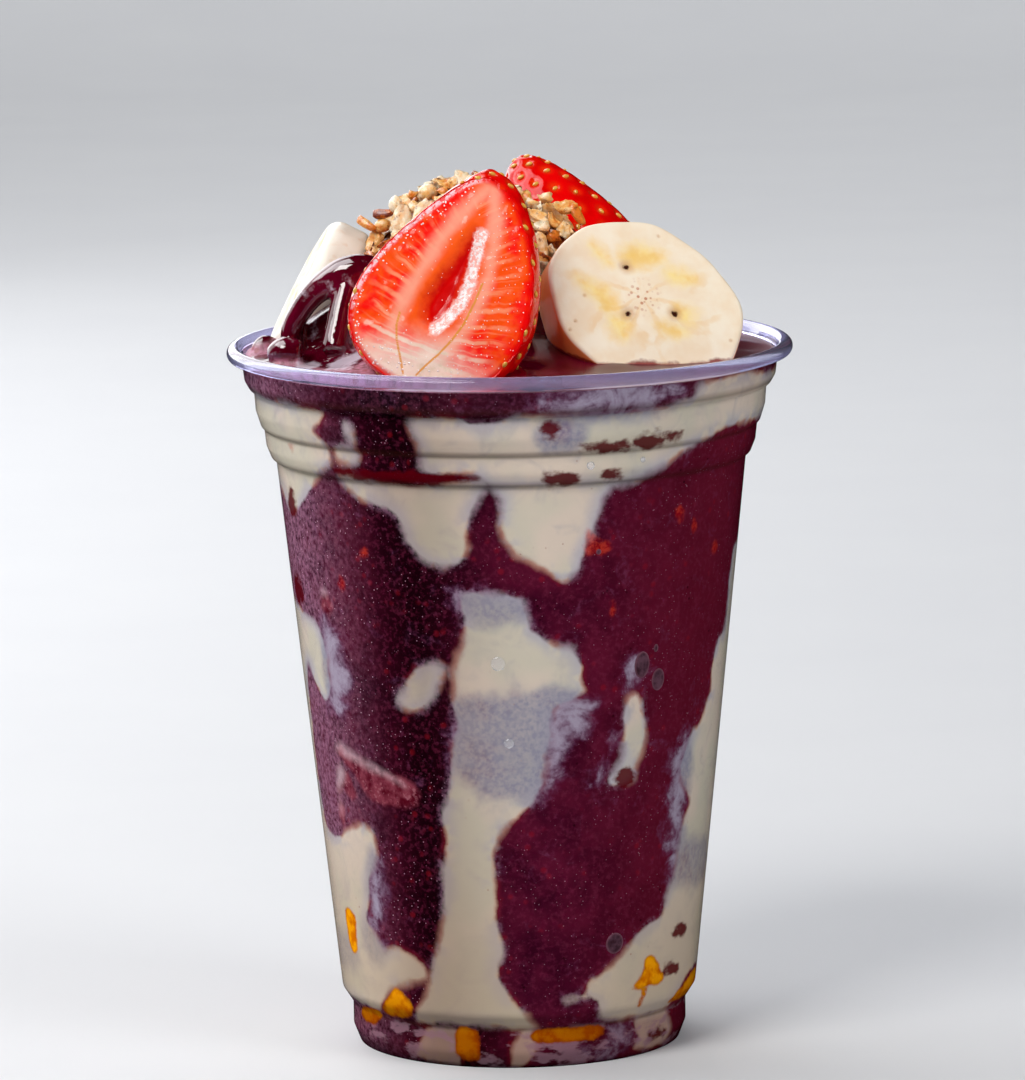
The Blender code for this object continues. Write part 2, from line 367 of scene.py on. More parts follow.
def inside_depth(spots, outline):
    """How far inside a closed outline each spot lies, negative outside."""
    nearest = np.full(len(spots), np.inf)
    inside = np.zeros(len(spots), bool)
    for start, end in zip(outline, np.roll(outline, -1, axis=0)):
        along = end - start
        share = np.clip((spots - start) @ along / max(along @ along, 1e-12), 0.0, 1.0)
        nearest = np.minimum(nearest, np.hypot(*(spots - start - share[:, None] * along).T))
        if start[1] != end[1]:
            level = (spots[:, 1] - start[1]) / along[1]
            inside ^= (level >= 0.0) & (level < 1.0) & (spots[:, 0] < start[0] + level * along[0])
    return np.where(inside, nearest, -nearest)


def patch_depth(azimuth, height, outlines):
    """How deep inside the nearest of the outlines each place on the wall lies, negative outside."""
    depth = np.full(azimuth.shape, -EDGE_MARGIN)
    for outline in outlines:
        curve = closed_curve(outline)
        edge = unrolled(curve[:, 0], curve[:, 1])
        for turn in (-360.0, 0.0, 360.0):
            spots = unrolled(azimuth + turn, height)
            near = np.all((spots > edge.min(0) - EDGE_MARGIN) & (spots < edge.max(0) + EDGE_MARGIN), axis=1)
            if near.any():
                depth[near] = np.maximum(depth[near], inside_depth(spots[near], edge))
    return depth


# ---- Where cream, haze, sauce and fruit show through the cup: outlines of (azimuth, height) ----

CREAM = (
    # shoulder and steps, at the left and round to the back
    ((-125, 113.2), (-95, 115.5), (-70, 115.8), (-55, 115.2), (-46, 115.2), (-47, 113), (-50, 111),
     (-47, 108.5), (-47, 106), (-51, 104), (-55, 102), (-60, 99.5), (-65, 96.5), (-72, 95), (-80, 98),
     (-95, 100), (-112, 103), (-128, 107)),
    ((-40, 113.6), (-37.5, 113), (-36.7, 110.5), (-38, 109.5), (-39.5, 110.5)),
    oval(-40.5, 107.6, 3.8, 1.6),
    # band round the shoulder and steps, at the right and round to the back
    ((-22, 114.6), (-12, 115.2), (-5, 114.2), (2, 115.6), (20, 115.2), (40, 116.2), (46, 119.6),
     (60, 119.2), (75, 118), (95, 117.5), (120, 116), (138, 113), (146, 110), (128, 108.5), (110, 107.5),
     (95, 109.5), (70, 110), (60, 110.9), (53, 109.6), (45, 107.6), (38, 105.3), (30, 103.2),
     (24, 102.3), (5, 102.5), (-4, 103), (-9, 105.6), (-20, 105.4), (-21.4, 110)),
    # two drips from it
    ((-3.5, 104), (-2, 100.5), (-2.8, 96), (-1.8, 93), (0.5, 90.8), (6, 89), (12.5, 86.4), (15.5, 87.6),
     (18, 91.5), (21, 95.5), (22.3, 99), (22.6, 104)),
    ((-43.5, 103.6), (-42, 101), (-35, 99.3), (-29.5, 98), (-26.5, 93.5), (-22.5, 90.4), (-17.5, 89),
     (-12.5, 90.6), (-10.6, 93), (-10.4, 97.5), (-8, 101), (-5.8, 104), (-12, 104), (-24, 103.2)),
    # long streak down the front, from its neck to where it spreads over the base
    ((-12, 84.5), (-6, 84.5), (0, 84.2), (3, 83.2), (3.5, 81), (4.5, 78.5), (7, 77), (11, 75.3),
     (15, 74.5), (17.5, 71.5), (18, 69), (19, 66.5), (10, 64), (9, 58), (8.5, 54), (7, 51), (4, 48),
     (0, 45), (-4, 42), (-5.5, 40), (-7, 37.5), (-6.8, 33), (-6.3, 28), (-5.2, 22), (-6.5, 17.5),
     (-5.5, 15.3), (-3, 13), (0.5, 11), (3, 8.5), (4, 7.2), (-10, 7.5), (-20, 7.8), (-35, 7.2),
     (-37, 8.5), (-33, 11.5), (-30, 14.5), (-28, 18), (-26, 21), (-24, 25), (-22, 28.5), (-22, 31.5),
     (-23, 35), (-22, 38), (-20.5, 42), (-21.2, 45.5), (-19.5, 48.5), (-18, 53), (-16.5, 59),
     (-15.5, 61), (-17, 66), (-16, 71), (-13, 76), (-12.5, 80), (-13.5, 82)),
    # crescent to its left, and the small drip to its right
    ((-33.5, 65), (-30, 67.5), (-27.5, 69.5), (-25, 71.5), (-21, 72.3), (-19, 71), (-20, 68),
     (-23, 65.2), (-27, 63.6), (-31, 63.8)),
    ((32, 65), (35.5, 65.3), (36.5, 62), (38.3, 58.5), (38, 56), (36, 53.5), (34.5, 50.3), (30, 49.5),
     (27, 50.3), (28.5, 52.5), (30.5, 55), (31.2, 59), (31, 62)),
    # broad streak at the right, from high on the side to low on the front
    ((112, 86), (95, 88), (79, 87.5), (77, 84), (76, 80), (77, 76), (75, 72.5), (71, 71.5), (68.5, 69),
     (67.5, 66.5), (68, 63), (65, 60.5), (62, 58), (58, 56.5), (55, 53), (54, 50), (57, 47), (60, 44),
     (57, 41), (55.5, 37), (55, 33), (52, 29), (50, 25), (45, 23.8), (40, 22), (36, 20), (31, 18),
     (26, 16.3), (22, 15), (20, 13), (15, 12.2), (19, 12), (25, 11.5), (26.5, 9), (30, 7.6), (40, 7.3),
     (58, 8), (60, 9), (66, 11), (72, 12.5), (80, 13), (95, 12), (104, 19), (106, 30), (102, 42),
     (107, 52), (118, 60), (122, 70), (121, 80)),
    # patches low at the left
    ((-118, 76), (-95, 79), (-80, 78.2), (-70, 77), (-64, 76), (-61, 73.5), (-60, 69), (-60, 65),
     (-64, 62.3), (-69, 65), (-73, 68.3), (-76.5, 67), (-79, 60), (-79, 45), (-76, 39), (-66, 38.2),
     (-60, 40), (-54, 41.6), (-48, 41.2), (-45.2, 38), (-47.5, 34.5), (-51, 31.5), (-52.5, 27),
     (-53.5, 24.5), (-49.5, 22.5), (-47, 19.8), (-42, 20.8), (-37, 20), (-31, 18), (-30.5, 15.5),
     (-37, 14.2), (-44, 13.2), (-49, 11), (-54, 8.3), (-62, 8.2), (-75, 8.8), (-95, 9), (-112, 12),
     (-118, 20), (-110, 32), (-100, 42), (-98, 52), (-106, 60), (-118, 66)),
    # round the foot
    ((-40, 1.5), (-36, 4.5), (-33, 6.8), (-22, 6.8), (-22.5, 0.5), (-38, 0.8)),
    ((-3, 0.6), (-2, 3.5), (-0.5, 5), (2, 7), (4.5, 7), (5, 4), (3.5, 2), (1, 0.3)),
    ((44, 7), (58, 7.2), (62, 5.5), (64, 3), (62, 1.3), (50, 1), (44, 1.6), (46, 3.5)),
    # the back: a band under the shoulder with drips, a long streak, and a patch by the base
    ((205, 115), (222, 114.5), (228, 112), (224, 107), (216, 105), (212, 98), (207, 92), (201, 90),
     (196, 93), (194, 99), (188, 103), (178, 105), (168, 104), (160, 106), (158, 110), (168, 114),
     (186, 115.3)),
    ((150, 101), (158, 102), (163, 98), (161, 91), (156, 86), (150, 85), (146, 89), (146, 95)),
    ((176, 84), (184, 83.5), (191, 80), (196, 73), (197, 66), (191, 60), (187, 53), (185, 44),
     (188, 34), (193, 25), (202, 16), (210, 9), (196, 8), (176, 8), (160, 9), (168, 16), (173, 25),
     (175, 35), (173, 45), (168, 54), (163, 62), (161, 70), (166, 77)),
    ((133, 46), (140, 49), (145, 45), (144, 38), (138, 32), (132, 30), (129, 36)),
    ((218, 50), (224, 54), (230, 52), (231, 45), (226, 38), (219, 36), (216, 42)),
    ((150, 6.8), (170, 6.9), (176, 4.5), (170, 1.5), (150, 1.2), (144, 3.5)),
)

# Thin bluish milk over the acai or the cream
HAZE = (
    ((-17, 66), (-8, 67.5), (0, 68), (8, 68), (18, 67), (22, 65), (20, 60), (14, 57), (12, 52), (5, 48.5),
     (-5, 48), (-13, 50), (-18, 54)),
    ((-14, 85), (3, 84.6), (4, 79.5), (-4, 79), (-13, 80)),
    oval(11, 111.8, 6, 3.4),
    oval(22, 117.8, 17, 4.0),
    oval(32.5, 69.5, 3.8, 3.3),
    ((28, 58), (27, 55), (24, 53), (20.5, 50.5), (22, 50), (26, 51.5)),
    ((55, 57), (60, 52), (58, 44), (60, 38), (70, 36.5), (80, 35.5), (80, 29), (66, 28.5), (56, 29),
     (50, 31), (49, 40), (48, 50)),
    ((-58, 24), (-50, 25.5), (-46, 22), (-47, 17), (-53, 16.5), (-58, 19)),
    ((-51, 37), (-45, 37.5), (-43.5, 31), (-46, 25.5), (-51, 27)),
    ((-60, 77), (-53, 74), (-50, 68), (-53, 61), (-60, 60), (-63, 66)),
    ((-80, 20.5), (-70, 21), (-62, 19), (-60, 15.5), (-70, 13.8), (-82, 14.5)),
    ((20, 2.3), (27, 2.6), (30, 4.5), (31, 7), (44, 7), (42, 5), (39, 3), (36, 1.2), (28, 1)),
    oval(190, 70, 9, 9),
    oval(140, 92, 8, 5),
)

# Red sauce smeared between the cup and what it holds
SMEARS = ovals(
    (21.5, 109.6, 6, 0.9), (35, 110, 6.5, 1.1), (11.5, 104.3, 4.5, 1.0), (23.5, 104.2, 2, 0.9),
    (9, 113, 2.5, 1.3), (-27, 104.5, 19, 0.9), (61, 21, 4.5, 1.1), (57, 14.5, 5.5, 0.8),
    (31.5, 51, 3.5, 1.6), (55, 3.2, 5, 0.8), (-75, 81, 5, 2.6), (-71, 97, 3.2, 2.5),
    (172, 106, 9, 1.0), (204, 104, 6, 1.2),
)

# Diced mango at the wall
MANGO = (
    ((-67.5, 25.3), (-61, 25), (-60.5, 22), (-62.5, 18), (-66.5, 18.2), (-67.5, 22)),
    ((-52, 8), (-47, 11.5), (-43, 13.3), (-39, 12), (-37, 10), (-40, 8)),
    ((-72, 5.5), (-66, 8), (-54, 8), (-60, 5)),
    ((-22, 1.8), (-22, 6.8), (-14.5, 6.6), (-14, 1.5)),
    ((5, 4.5), (5, 6.9), (17, 7), (29, 6.9), (29, 4.5), (17, 4.3)),
    ((38.5, 12.6), (42, 15), (44, 18), (48, 17.5), (51, 15.5), (53, 13), (46, 12.6)),
    ((44, 12.3), (45.5, 12), (43, 9.3), (41.2, 9.8)),
    ((58, 8.6), (66, 10.8), (75, 12), (88, 12.5), (96, 10.5), (92, 8.5), (70, 8.2)),
    ((150, 22), (156, 23), (158, 18.5), (153, 16.5)),
    ((212, 13), (219, 16), (223, 12), (216, 9.5)),
    ((120, 3), (121, 6.8), (134, 6.7), (133, 2.8)),
    ((238, 26), (243, 28), (246, 23), (241, 21)),
)

# Slices of strawberry under the surface at the left, and painted highlights on the upper edges of their
# cuts
SUNK_FRUIT = (
    oval(-57, 80, 2.7, 2.3),
    ((-60.5, 54), (-59, 55.3), (-54, 54.8), (-45, 53.2), (-36, 52), (-30, 50.5), (-28, 48), (-31, 46),
     (-38, 45.8), (-46, 46.5), (-52, 50), (-57, 52)),
    ((-62.5, 46.5), (-61.5, 50), (-58.5, 51.6), (-55, 50.5), (-52, 47), (-55, 45.8), (-59, 47)),
    ((-63.5, 42), (-62, 45), (-59.5, 44.5), (-59.5, 41.5), (-61.5, 40.8)),
    ((232, 88), (240, 91), (247, 88), (244, 84), (236, 84)),
)
SUNK_CRESTS = (
    ((-60.8, 54.2), (-59, 55.6), (-54, 54.9), (-46, 53.4), (-38, 51.6), (-33, 49.8), (-38, 51.0),
     (-46, 52.2), (-54, 53.4), (-58, 53.6)),
    ((-62.6, 47), (-61.6, 50.4), (-58.6, 51.8), (-57, 50.2), (-58.5, 48.6), (-60.8, 46.8)),
    ((-63.2, 43.2), (-61.8, 45.2), (-60.2, 44.2), (-61.2, 42.4)),
    oval(-57.6, 82.2, 1.4, 0.5),
    ((232.5, 88.6), (240, 91.2), (245, 89), (240, 90)),
)

# Scraps of orange and red pulp
PULP = ovals(
    (19.2, 92.8, 1.3, 2.0), (22.5, 91.6, 2.2, 0.9), (45.5, 96.2, 1.5, 1.3), (51.5, 93.6, 0.8, 1.2),
    (-49, 84.5, 0.9, 0.9), (-40, 90.5, 1.0, 0.8), (26, 81, 0.6, 1.2), (62, 88.5, 1.2, 0.9),
    (-62, 107.5, 1.1, 0.5), (160, 82, 1.6, 1.1), (216, 70, 1.2, 1.6), (140, 60, 1.0, 1.0),
)

# Layers of the acai's wall, and the patches that each shows
PATCHES = {"cream": CREAM, "haze": HAZE, "smear": SMEARS, "pulp": PULP, "berry": SUNK_FRUIT, "mango": MANGO,
           "crest": SUNK_CRESTS}

# Bubbles of air against the cup
BUBBLES = ovals(
    (35.8, 70.4, 2.5, 2.4), (41.6, 67.4, 2.3, 2.0), (31, 21.5, 3.2, 1.9), (40.2, 73.0, 0.8, 0.7),
    (21.7, 91.0, 0.7, 0.5), (228, 64, 2.4, 2.1), (148, 74, 2.0, 1.9),
)


# ---- Cup and the acai inside it ----

LIP_MILKINESS = 0.15          # the rolled lip is thicker sheet, so it is less clear
CREASES = (116.2, 108.5, 103.1, 7.0)   # heights where a fine dark line of painted shade runs in a step
LIP_STEPS = 20

# Section of a bubble, as (share of its outline, rise from the acai's side), back to front
BUBBLE_RINGS = ((0.0, -3.0), (0.8, -3.0), (1.0, -2.2), (1.0, -0.3), (0.97, 0.02), (0.88, 0.08),
                (0.7, 0.1), (0.5, 0.1), (0.3, 0.1), (0.1, 0.1), (0.0, 0.1))
# Drops of water on the cup, as (azimuth, height, half-width)
DROPLETS = ((-4.2, 72.2, 1.25), (-1.8, 58.2, 0.9), (18.3, 106.3, 0.7), (31.5, 106.6, 0.5))


def clear_finish(name, ior):
    """Glass or water that lets lamp light straight through, as a thin sheet does."""
    clear = Finish(name, Base_Color=shown(240, 240, 244), Roughness=0.03, IOR=ior, Transmission_Weight=1.0)
    lamp_ray = clear.add("LightPath", output="Is Shadow Ray")
    passing = clear.add("BsdfTransparent", {"Color": (0.93, 0.94, 0.96)})
    mixed = clear.add("MixShader", {0: lamp_ray, 1: clear.shader.outputs[0], 2: passing})
    clear.tree.links.new(mixed, clear.tree.nodes["Material Output"].inputs["Surface"])
    return clear


def build_cup():
    clear = clear_finish("clear_cup", 1.34)
    rolled = clear.fade(clear.attribute("lip"), 0.0, LIP_MILKINESS)
    clear.set(Base_Color=clear.blend(rolled, shown(240, 240, 244), shown(200, 198, 240)))
    clear.set(Transmission_Weight=clear.calc("SUBTRACT", 1.0, clear.attribute("lip")))
    clear.bump(clear.noise(14.0, detail=1.0), 0.12)

    inside = [Vector(point) for point in rounded_outline(inset_outline(CUP_OUTER, CUP_WALL))]
    inside.reverse()
    lip = []
    for step in range(LIP_STEPS + 1):
        angle = math.radians(180.0 - LIP_SWEEP * step / LIP_STEPS)
        lip.append(Vector(LIP_CENTRE) + Vector((math.cos(angle), math.sin(angle))) * LIP_RADIUS)
    outline = inside + lip + rounded_outline(CUP_OUTER)
    mesh = grid_mesh("cup_wall", turned_rows(outline, CUP_COLUMNS))
    top = CUP_OUTER[0][1]
    paint(mesh, lip=LIP_MILKINESS * smoothstep(places(mesh)[:, 2], top, top + 0.5))
    add_piece("cup_wall", mesh, clear, "clear_cup", "cup")


def acai_colour(finish, fine, cloud):
    """Deep purple acai, redder, darker with painted shade, or frosted with fine ice and a painted sheen,
    where its layers say.
    """
    colour = finish.blend(finish.fade(cloud, 0.34, 0.66), shown(56, 14, 32), shown(84, 24, 44))
    colour = finish.coat(colour, finish.attribute("redness"), (98, 26, 42))
    # Painted shade, darker towards the middle of the front and along the brim
    colour = finish.coat(colour, finish.attribute("shade"), (28, 6, 16))
    colour = finish.coat(colour, finish.fade(fine, 0.44, 0.74, 0.35), (112, 42, 64))
    pulp = finish.product(finish.fade(finish.cells(2.6), 0.3, 0.12), finish.fade(cloud, 0.48, 0.6))
    colour = finish.coat(colour, pulp, (136, 26, 34), 0.38)
    seeds = finish.product(finish.fade(finish.cells(1.9), 0.16, 0.08), finish.fade(cloud, 0.5, 0.36))
    colour = finish.coat(colour, seeds, (26, 4, 12), 0.7)
    # Frost over the left side, with a painted sheen of the lamps there
    frost = finish.product(finish.attribute("frost"), finish.fade(fine, 0.2, 0.74))
    colour = finish.coat(colour, frost, (160, 112, 136))
    crystal = finish.product(
        finish.fade(finish.cells(0.8), 0.16, 0.08), finish.fade(finish.noise(5.0, detail=2.0), 0.4, 0.6),
        finish.attribute("crystals"))
    return finish.coat(colour, crystal, (206, 168, 186))


def cream_colour(finish, edge, haze, grain, wisps, streaky, cloud, warm_side, cool_side):
    """Cream, thinner and bluish or reddish towards its edge, with a veil of milk where there is haze."""
    colour = finish.blend(finish.fade(finish.noise(15.0, detail=2.0), 0.4, 0.6), shown(198, 190, 170),
                          shown(210, 194, 176))
    thin = finish.product(finish.fade(edge, 3.4, 0.0), cool_side)
    colour = finish.coat(colour, thin, (172, 168, 178), 0.8)
    blush = finish.product(finish.fade(edge, 0.8, 0.0), warm_side)
    colour = finish.coat(colour, blush, (184, 112, 88), 0.6)
    colour = finish.coat(colour, finish.fade(wisps, 0.45, 0.85, 0.6), (168, 160, 160))
    veil = finish.product(finish.fade(haze, 0.1, 0.9), finish.calc("MULTIPLY_ADD", grain, -0.3, 1.0))
    bluish = finish.blend(finish.fade(cloud, 0.48, 0.76), shown(138, 136, 150), shown(116, 96, 120))
    colour = finish.blend(veil, colour, bluish)
    # Painted shade, darker and browner lower down the cup
    colour = finish.coat(colour, finish.attribute("warmth"), (178, 158, 132), 0.6)
    # Painted shade on the cream, darker and browner, towards the middle of the front
    colour = finish.coat(colour, finish.attribute("shade"), (126, 100, 84), 0.45)
    dust = finish.product(finish.fade(finish.cells(1.7), 0.14, 0.05), finish.fade(streaky, 0.54, 0.66))
    return finish.coat(colour, dust, (140, 84, 76), 0.6)


def marbled_finish():
    """Acai against the cup, with cream, thin milk, red sauce, strawberry and mango showing in it."""
    finish = Finish("acai_and_cream", Roughness=0.6, Specular_IOR_Level=0.0)
    fine = finish.noise(0.9, detail=2.0, rough=0.6)
    ragged = finish.noise(2.4, detail=3.0)
    wavy = finish.noise(9.0, detail=2.0)
    cloud = finish.noise(8.0, detail=3.0, rough=0.6)
    streaky = finish.noise(5.0, detail=3.0, squeeze=(1.0, 1.0, 2.2))
    wisps = finish.noise(6.0, detail=3.0, rough=0.6, warp=1.4)
    colour = acai_colour(finish, fine, cloud)

    haze = finish.mask("haze", -3.2, 3.6, (wavy, 5.0), (ragged, 2.0))
    grain = finish.fade(fine, 0.3, 0.68)
    thick = finish.swayed(finish.calc("MULTIPLY", haze, 1.5), (wisps, 2.6), (fine, 0.9))
    milk = finish.blend(finish.fade(thick, 0.5, 1.9), shown(102, 62, 92), shown(162, 152, 168))
    colour = finish.blend(finish.fade(thick, 0.15, 1.5, 0.9), colour, milk)

    edge = finish.swayed(finish.attribute("cream"), (ragged, 1.2), (wavy, 2.6))
    warm_side = finish.fade(cloud, 0.46, 0.56)
    cool_side = finish.calc("SUBTRACT", 1.0, warm_side)
    glow = finish.product(finish.fade(edge, -1.3, 0.0), warm_side)
    colour = finish.coat(colour, glow, (118, 32, 42), 0.55)
    bloom = finish.product(finish.fade(edge, -1.5, 0.0), cool_side, grain)
    colour = finish.coat(colour, bloom, (126, 92, 112), 0.7)
    cream = cream_colour(finish, edge, haze, grain, wisps, streaky, cloud, warm_side, cool_side)
    softness = finish.fade(finish.noise(11.0, detail=2.0), 0.44, 0.62, 0.9)
    cover = finish.calc("DIVIDE", edge, finish.calc("ADD", softness, 0.4))
    colour = finish.blend(finish.fade(cover, -1.0, 1.0), colour, cream)

    smear = finish.mask("smear", -0.7, 0.5, (ragged, 2.6), (streaky, 3.6), top=0.95)
    colour = finish.coat(colour, smear, (86, 6, 20))
    flesh = finish.blend(finish.fade(fine, 0.35, 0.6), shown(142, 18, 24), shown(186, 56, 34))
    pulp = finish.calc("MULTIPLY", finish.mask("pulp", -0.7, 0.5, (ragged, 2.4)), 0.7)
    colour = finish.blend(pulp, colour, flesh)
    fruit = finish.blend(finish.fade(ragged, 0.36, 0.62), shown(84, 18, 32), shown(128, 58, 70))
    fruit = finish.coat(fruit, finish.fade(fine, 0.56, 0.7, 0.6), (160, 98, 108))
    berry = finish.mask("berry", -0.5, 0.9, (ragged, 1.6), (fine, 0.6), top=0.9)
    colour = finish.blend(berry, colour, fruit)
    # Painted highlight along the sunk slices' upper edges
    pink = finish.blend(finish.fade(wavy, 0.4, 0.6), shown(196, 140, 148), shown(214, 188, 194))
    crest = finish.mask("crest", -1.1, 1.5, (ragged, 1.0), (fine, 0.5), top=0.6)
    colour = finish.blend(crest, colour, pink)
    # Painted shade: fine dark lines in the steps' creases
    colour = finish.coat(colour, finish.attribute("crease"), (64, 34, 26), 0.55)
    wisp = finish.product(finish.attribute("foot"), finish.fade(streaky, 0.5, 0.62, 0.75))
    colour = finish.coat(colour, wisp, (166, 138, 150))
    chunk = finish.swayed(finish.attribute("mango"), (ragged, 1.3), (fine, 0.5))
    amber = finish.blend(finish.fade(ragged, 0.36, 0.62), shown(206, 106, 6), shown(240, 158, 18))
    amber = finish.coat(amber, finish.fade(chunk, 0.9, 0.0, 0.6), (150, 62, 20))
    # Painted shade on the lower mango
    amber = finish.coat(amber, finish.attribute("low"), (132, 54, 8), 0.5)
    colour = finish.blend(finish.fade(chunk, -0.25, 0.35), colour, amber)
    # Painted shade: everything at the foot darkened
    finish.set(Base_Color=finish.blend(finish.attribute("foot"), colour, (0.66, 0.52, 0.54), "MULTIPLY"))
    return finish


def build_acai_wall():
    mesh = grid_mesh("acai_wall", turned_rows(WALL_OUTLINE, WALL_COLUMNS))
    azimuth, height = wall_places(mesh)
    for layer, outlines in PATCHES.items():
        paint(mesh, **{layer: patch_depth(azimuth, height, outlines)})
    # Frosted, with a painted sheen, over the left side; clear, with painted shade, towards the middle of
    # the front and along the brim
    left = smoothstep(-azimuth, 34.0, 80.0) * smoothstep(azimuth, -185.0, -120.0)
    brim = smoothstep(height, 115.2, 116.4)
    icy_side = smoothstep(-azimuth, 5.0, 60.0) * smoothstep(azimuth, -180.0, -110.0)
    paint(
        mesh,
        # frost, with a painted sheen
        frost=np.maximum(0.9 * left, 0.06 * brim),
        # painted shade
        shade=np.maximum(np.exp(-((azimuth + 26.0) / 18.0) ** 2), 0.45 * brim * (1.0 - left)),
        redness=0.8 * smoothstep(azimuth, 5.0, 65.0) * smoothstep(-azimuth, -180.0, -110.0),
        crystals=0.3 + 0.7 * icy_side,
        # painted shade lower down
        warmth=smoothstep(-height, -52.0, -10.0),
        # painted shade at the foot, which also holds the mauve wisps there
        foot=smoothstep(-height, -8.0, -5.5),
        # painted shade on the lower mango
        low=smoothstep(-height, -15.0, -8.0),
        # painted shade in the steps' creases
        crease=sum(np.exp(-((height - crease) / 0.4) ** 2) for crease in CREASES))
    add_piece("acai_wall", mesh, marbled_finish(), "acai", "acai")


def bubble_mesh(name, outline):
    """An air bubble flattened against the inside of the cup."""
    curve = closed_curve(outline)
    middle = curve.mean(axis=0)
    rows = []
    for share, rise in BUBBLE_RINGS:
        rows.append(on_wall(*(middle + (curve - middle) * share).T, rise))
    mesh = grid_mesh(name, np.array(rows))
    with reshaping(mesh) as shape:
        bmesh.ops.recalc_face_normals(shape, faces=shape.faces)
    azimuth, height = wall_places(mesh, middle[0])
    paint(mesh, inside=inside_depth(unrolled(azimuth, height), unrolled(*curve.T)))
    return mesh


def build_bubbles_and_drops():
    """Air bubbles under the cup's wall, and clear drops on its outside."""
    air = Finish("air_bubbles", Roughness=0.5, Specular_IOR_Level=0.1)
    ring = air.fade(air.attribute("inside"), 0.55, 0.1)
    dark = air.blend(air.fade(air.noise(2.0), 0.35, 0.65), shown(52, 30, 38), shown(92, 62, 74))
    air.set(Base_Color=air.coat(dark, ring, (124, 78, 92), 0.5))
    bubbles = joined("air_bubbles", [bubble_mesh("bubble", outline) for outline in BUBBLES])
    bubbles.shade_smooth()
    add_piece("air_bubbles", bubbles, air, "acai")

    water = clear_finish("water_drops", 1.33)
    water.set(Transmission_Weight=0.8)
    items = []
    for azimuth, height, size in DROPLETS:
        place = on_wall(np.array(azimuth), np.array(height), WALL_DEPTH)
        items.append((place, (place[0], place[1], 0.0), size, 0.0, 0.0, 0.0))
    scatter("cup_droplets", bead, 3, items, water, "clear_cup")


# ---- Acai heaped over the rim, with its fold and bead ----

# Limbs as in the CAD, with thinner runs between them: (x, y, z, thickness radius)
FOLD_LIMBS = (
    # the ridge of the fold
    ((-37.6, -9.0, 121.5, 1.8), (-37.4, -9.0, 126.2, 1.9), (-36.0, -9.2, 129.0, 2.0),
     (-33.9, -9.3, 131.8, 2.2), (-31.0, -9.4, 134.2, 2.6), (-27.6, -9.6, 135.9, 3.0),
     (-23.6, -9.6, 135.9, 3.0), (-19.5, -9.6, 133.0, 2.8), (-16.5, -9.8, 127.5, 2.4)),
    # its front leg, which ends round
    ((-27.2, -10.0, 134.6, 2.5), (-28.4, -12.0, 131.0, 2.2), (-29.3, -14.0, 127.2, 2.2),
     (-29.8, -15.6, 124.2, 2.4), (-29.9, -16.3, 123.0, 2.4)),
    # acai inside the fold
    ((-36.0, -6.0, 121.5, 2.3), (-33.6, -5.5, 125.0, 2.6), (-30.4, -5.5, 127.6, 2.4),
     (-26.0, -6.0, 130.0, 2.4)),
    # bead in front of it, and a smaller one behind
    ((-41.0, -12.8, 121.8, 1.8), (-38.6, -13.6, 122.9, 2.7), (-35.6, -14.0, 122.4, 2.4)),
    ((-44.0, -2.0, 121.2, 1.3), (-42.4, -1.0, 122.4, 1.9), (-40.6, 0.0, 121.9, 1.6)),
)
# Wet puddles round the front leg's end and beside the bead
PUDDLES = (((-34.5, -5.0), (-32.0, -14.0), (-27.5, -21.5)), ((-43.0, -13.0), (-43.0, -8.0)))
# Pale froth there, painted lighter as a glare, as (x, y, reach in x, reach in y)
FROTH = ((-27.6, -21.5, 4.4, 6.5), (-34.6, -17.0, 2.4, 5.0))
DENT = (-32.0, -12.5, 9.5, 2.4)   # hollow in the heap beside the fold: place, spread and depth
FOLD_VOXEL = 0.5
TOP_COLUMNS = 256
TOP_RINGS = 70
TOP_THICKNESS = 4.0


def acai_top(x, y):
    """Height of the acai: level at the wall, and heaped up towards the middle."""
    across = (x - MOUND_CENTRE[0]) / MOUND_SPREAD[0]
    along = (y - MOUND_CENTRE[1]) / MOUND_SPREAD[1]
    edge = np.minimum(1.0, np.hypot(x, y) / LIP_CENTRE[0])
    mound = MOUND_HEIGHT * np.exp(-across ** 2 - along ** 2) * (1.0 - edge ** 8)
    dent = np.exp(-((x - DENT[0]) / DENT[2]) ** 2 - ((y - DENT[1]) / DENT[2]) ** 2)
    return ACAI_LEVEL + np.maximum(mound - DENT[3] * dent, 0.0)


def bumps(points, size, offset=0.0):
    """Smooth noise from -1 to 1 at each point, with features size across."""
    return np.array([noise.noise(Vector(point) / size + Vector((offset, 0.0, 0.0))) for point in points])


def shown_mesh(item):
    """The mesh that an object shows with its modifiers. The object itself is removed."""
    bpy.context.view_layer.update()
    mesh = bpy.data.meshes.new_from_object(item.evaluated_get(bpy.context.evaluated_depsgraph_get()))
    bpy.data.objects.remove(item)
    return mesh


def add_limb(name, points):
    """A round limb whose thickness changes along a smooth path."""
    curve = bpy.data.curves.new(name, "CURVE")
    curve.dimensions = "3D"
    curve.bevel_depth = MM
    curve.bevel_resolution = 6
    curve.resolution_u = 12
    curve.use_fill_caps = True
    spline = curve.splines.new("BEZIER")
    spline.bezier_points.add(len(points) - 1)
    for knot, (x, y, z, radius) in zip(spline.bezier_points, points):
        knot.co = (x * MM, y * MM, z * MM)
        knot.radius = radius
        knot.handle_left_type = "AUTO"
        knot.handle_right_type = "AUTO"
    return shown_mesh(add_object(name, curve))


def applied(mesh, *modifiers):
    """The mesh after modifiers, each given as (type, settings)."""
    holder = add_object("holder", mesh)
    for kind, settings in modifiers:
        modifier = holder.modifiers.new(kind, kind)
        for name, value in settings.items():
            setattr(modifier, name, value)
    return shown_mesh(holder)


def joined(name, meshes):
    """One mesh from several, each keeping its own place."""
    shape = bmesh.new()
    for mesh in meshes:
        shape.from_mesh(mesh)
    mesh = bpy.data.meshes.new(name)
    shape.to_mesh(mesh)
    shape.free()
    return mesh


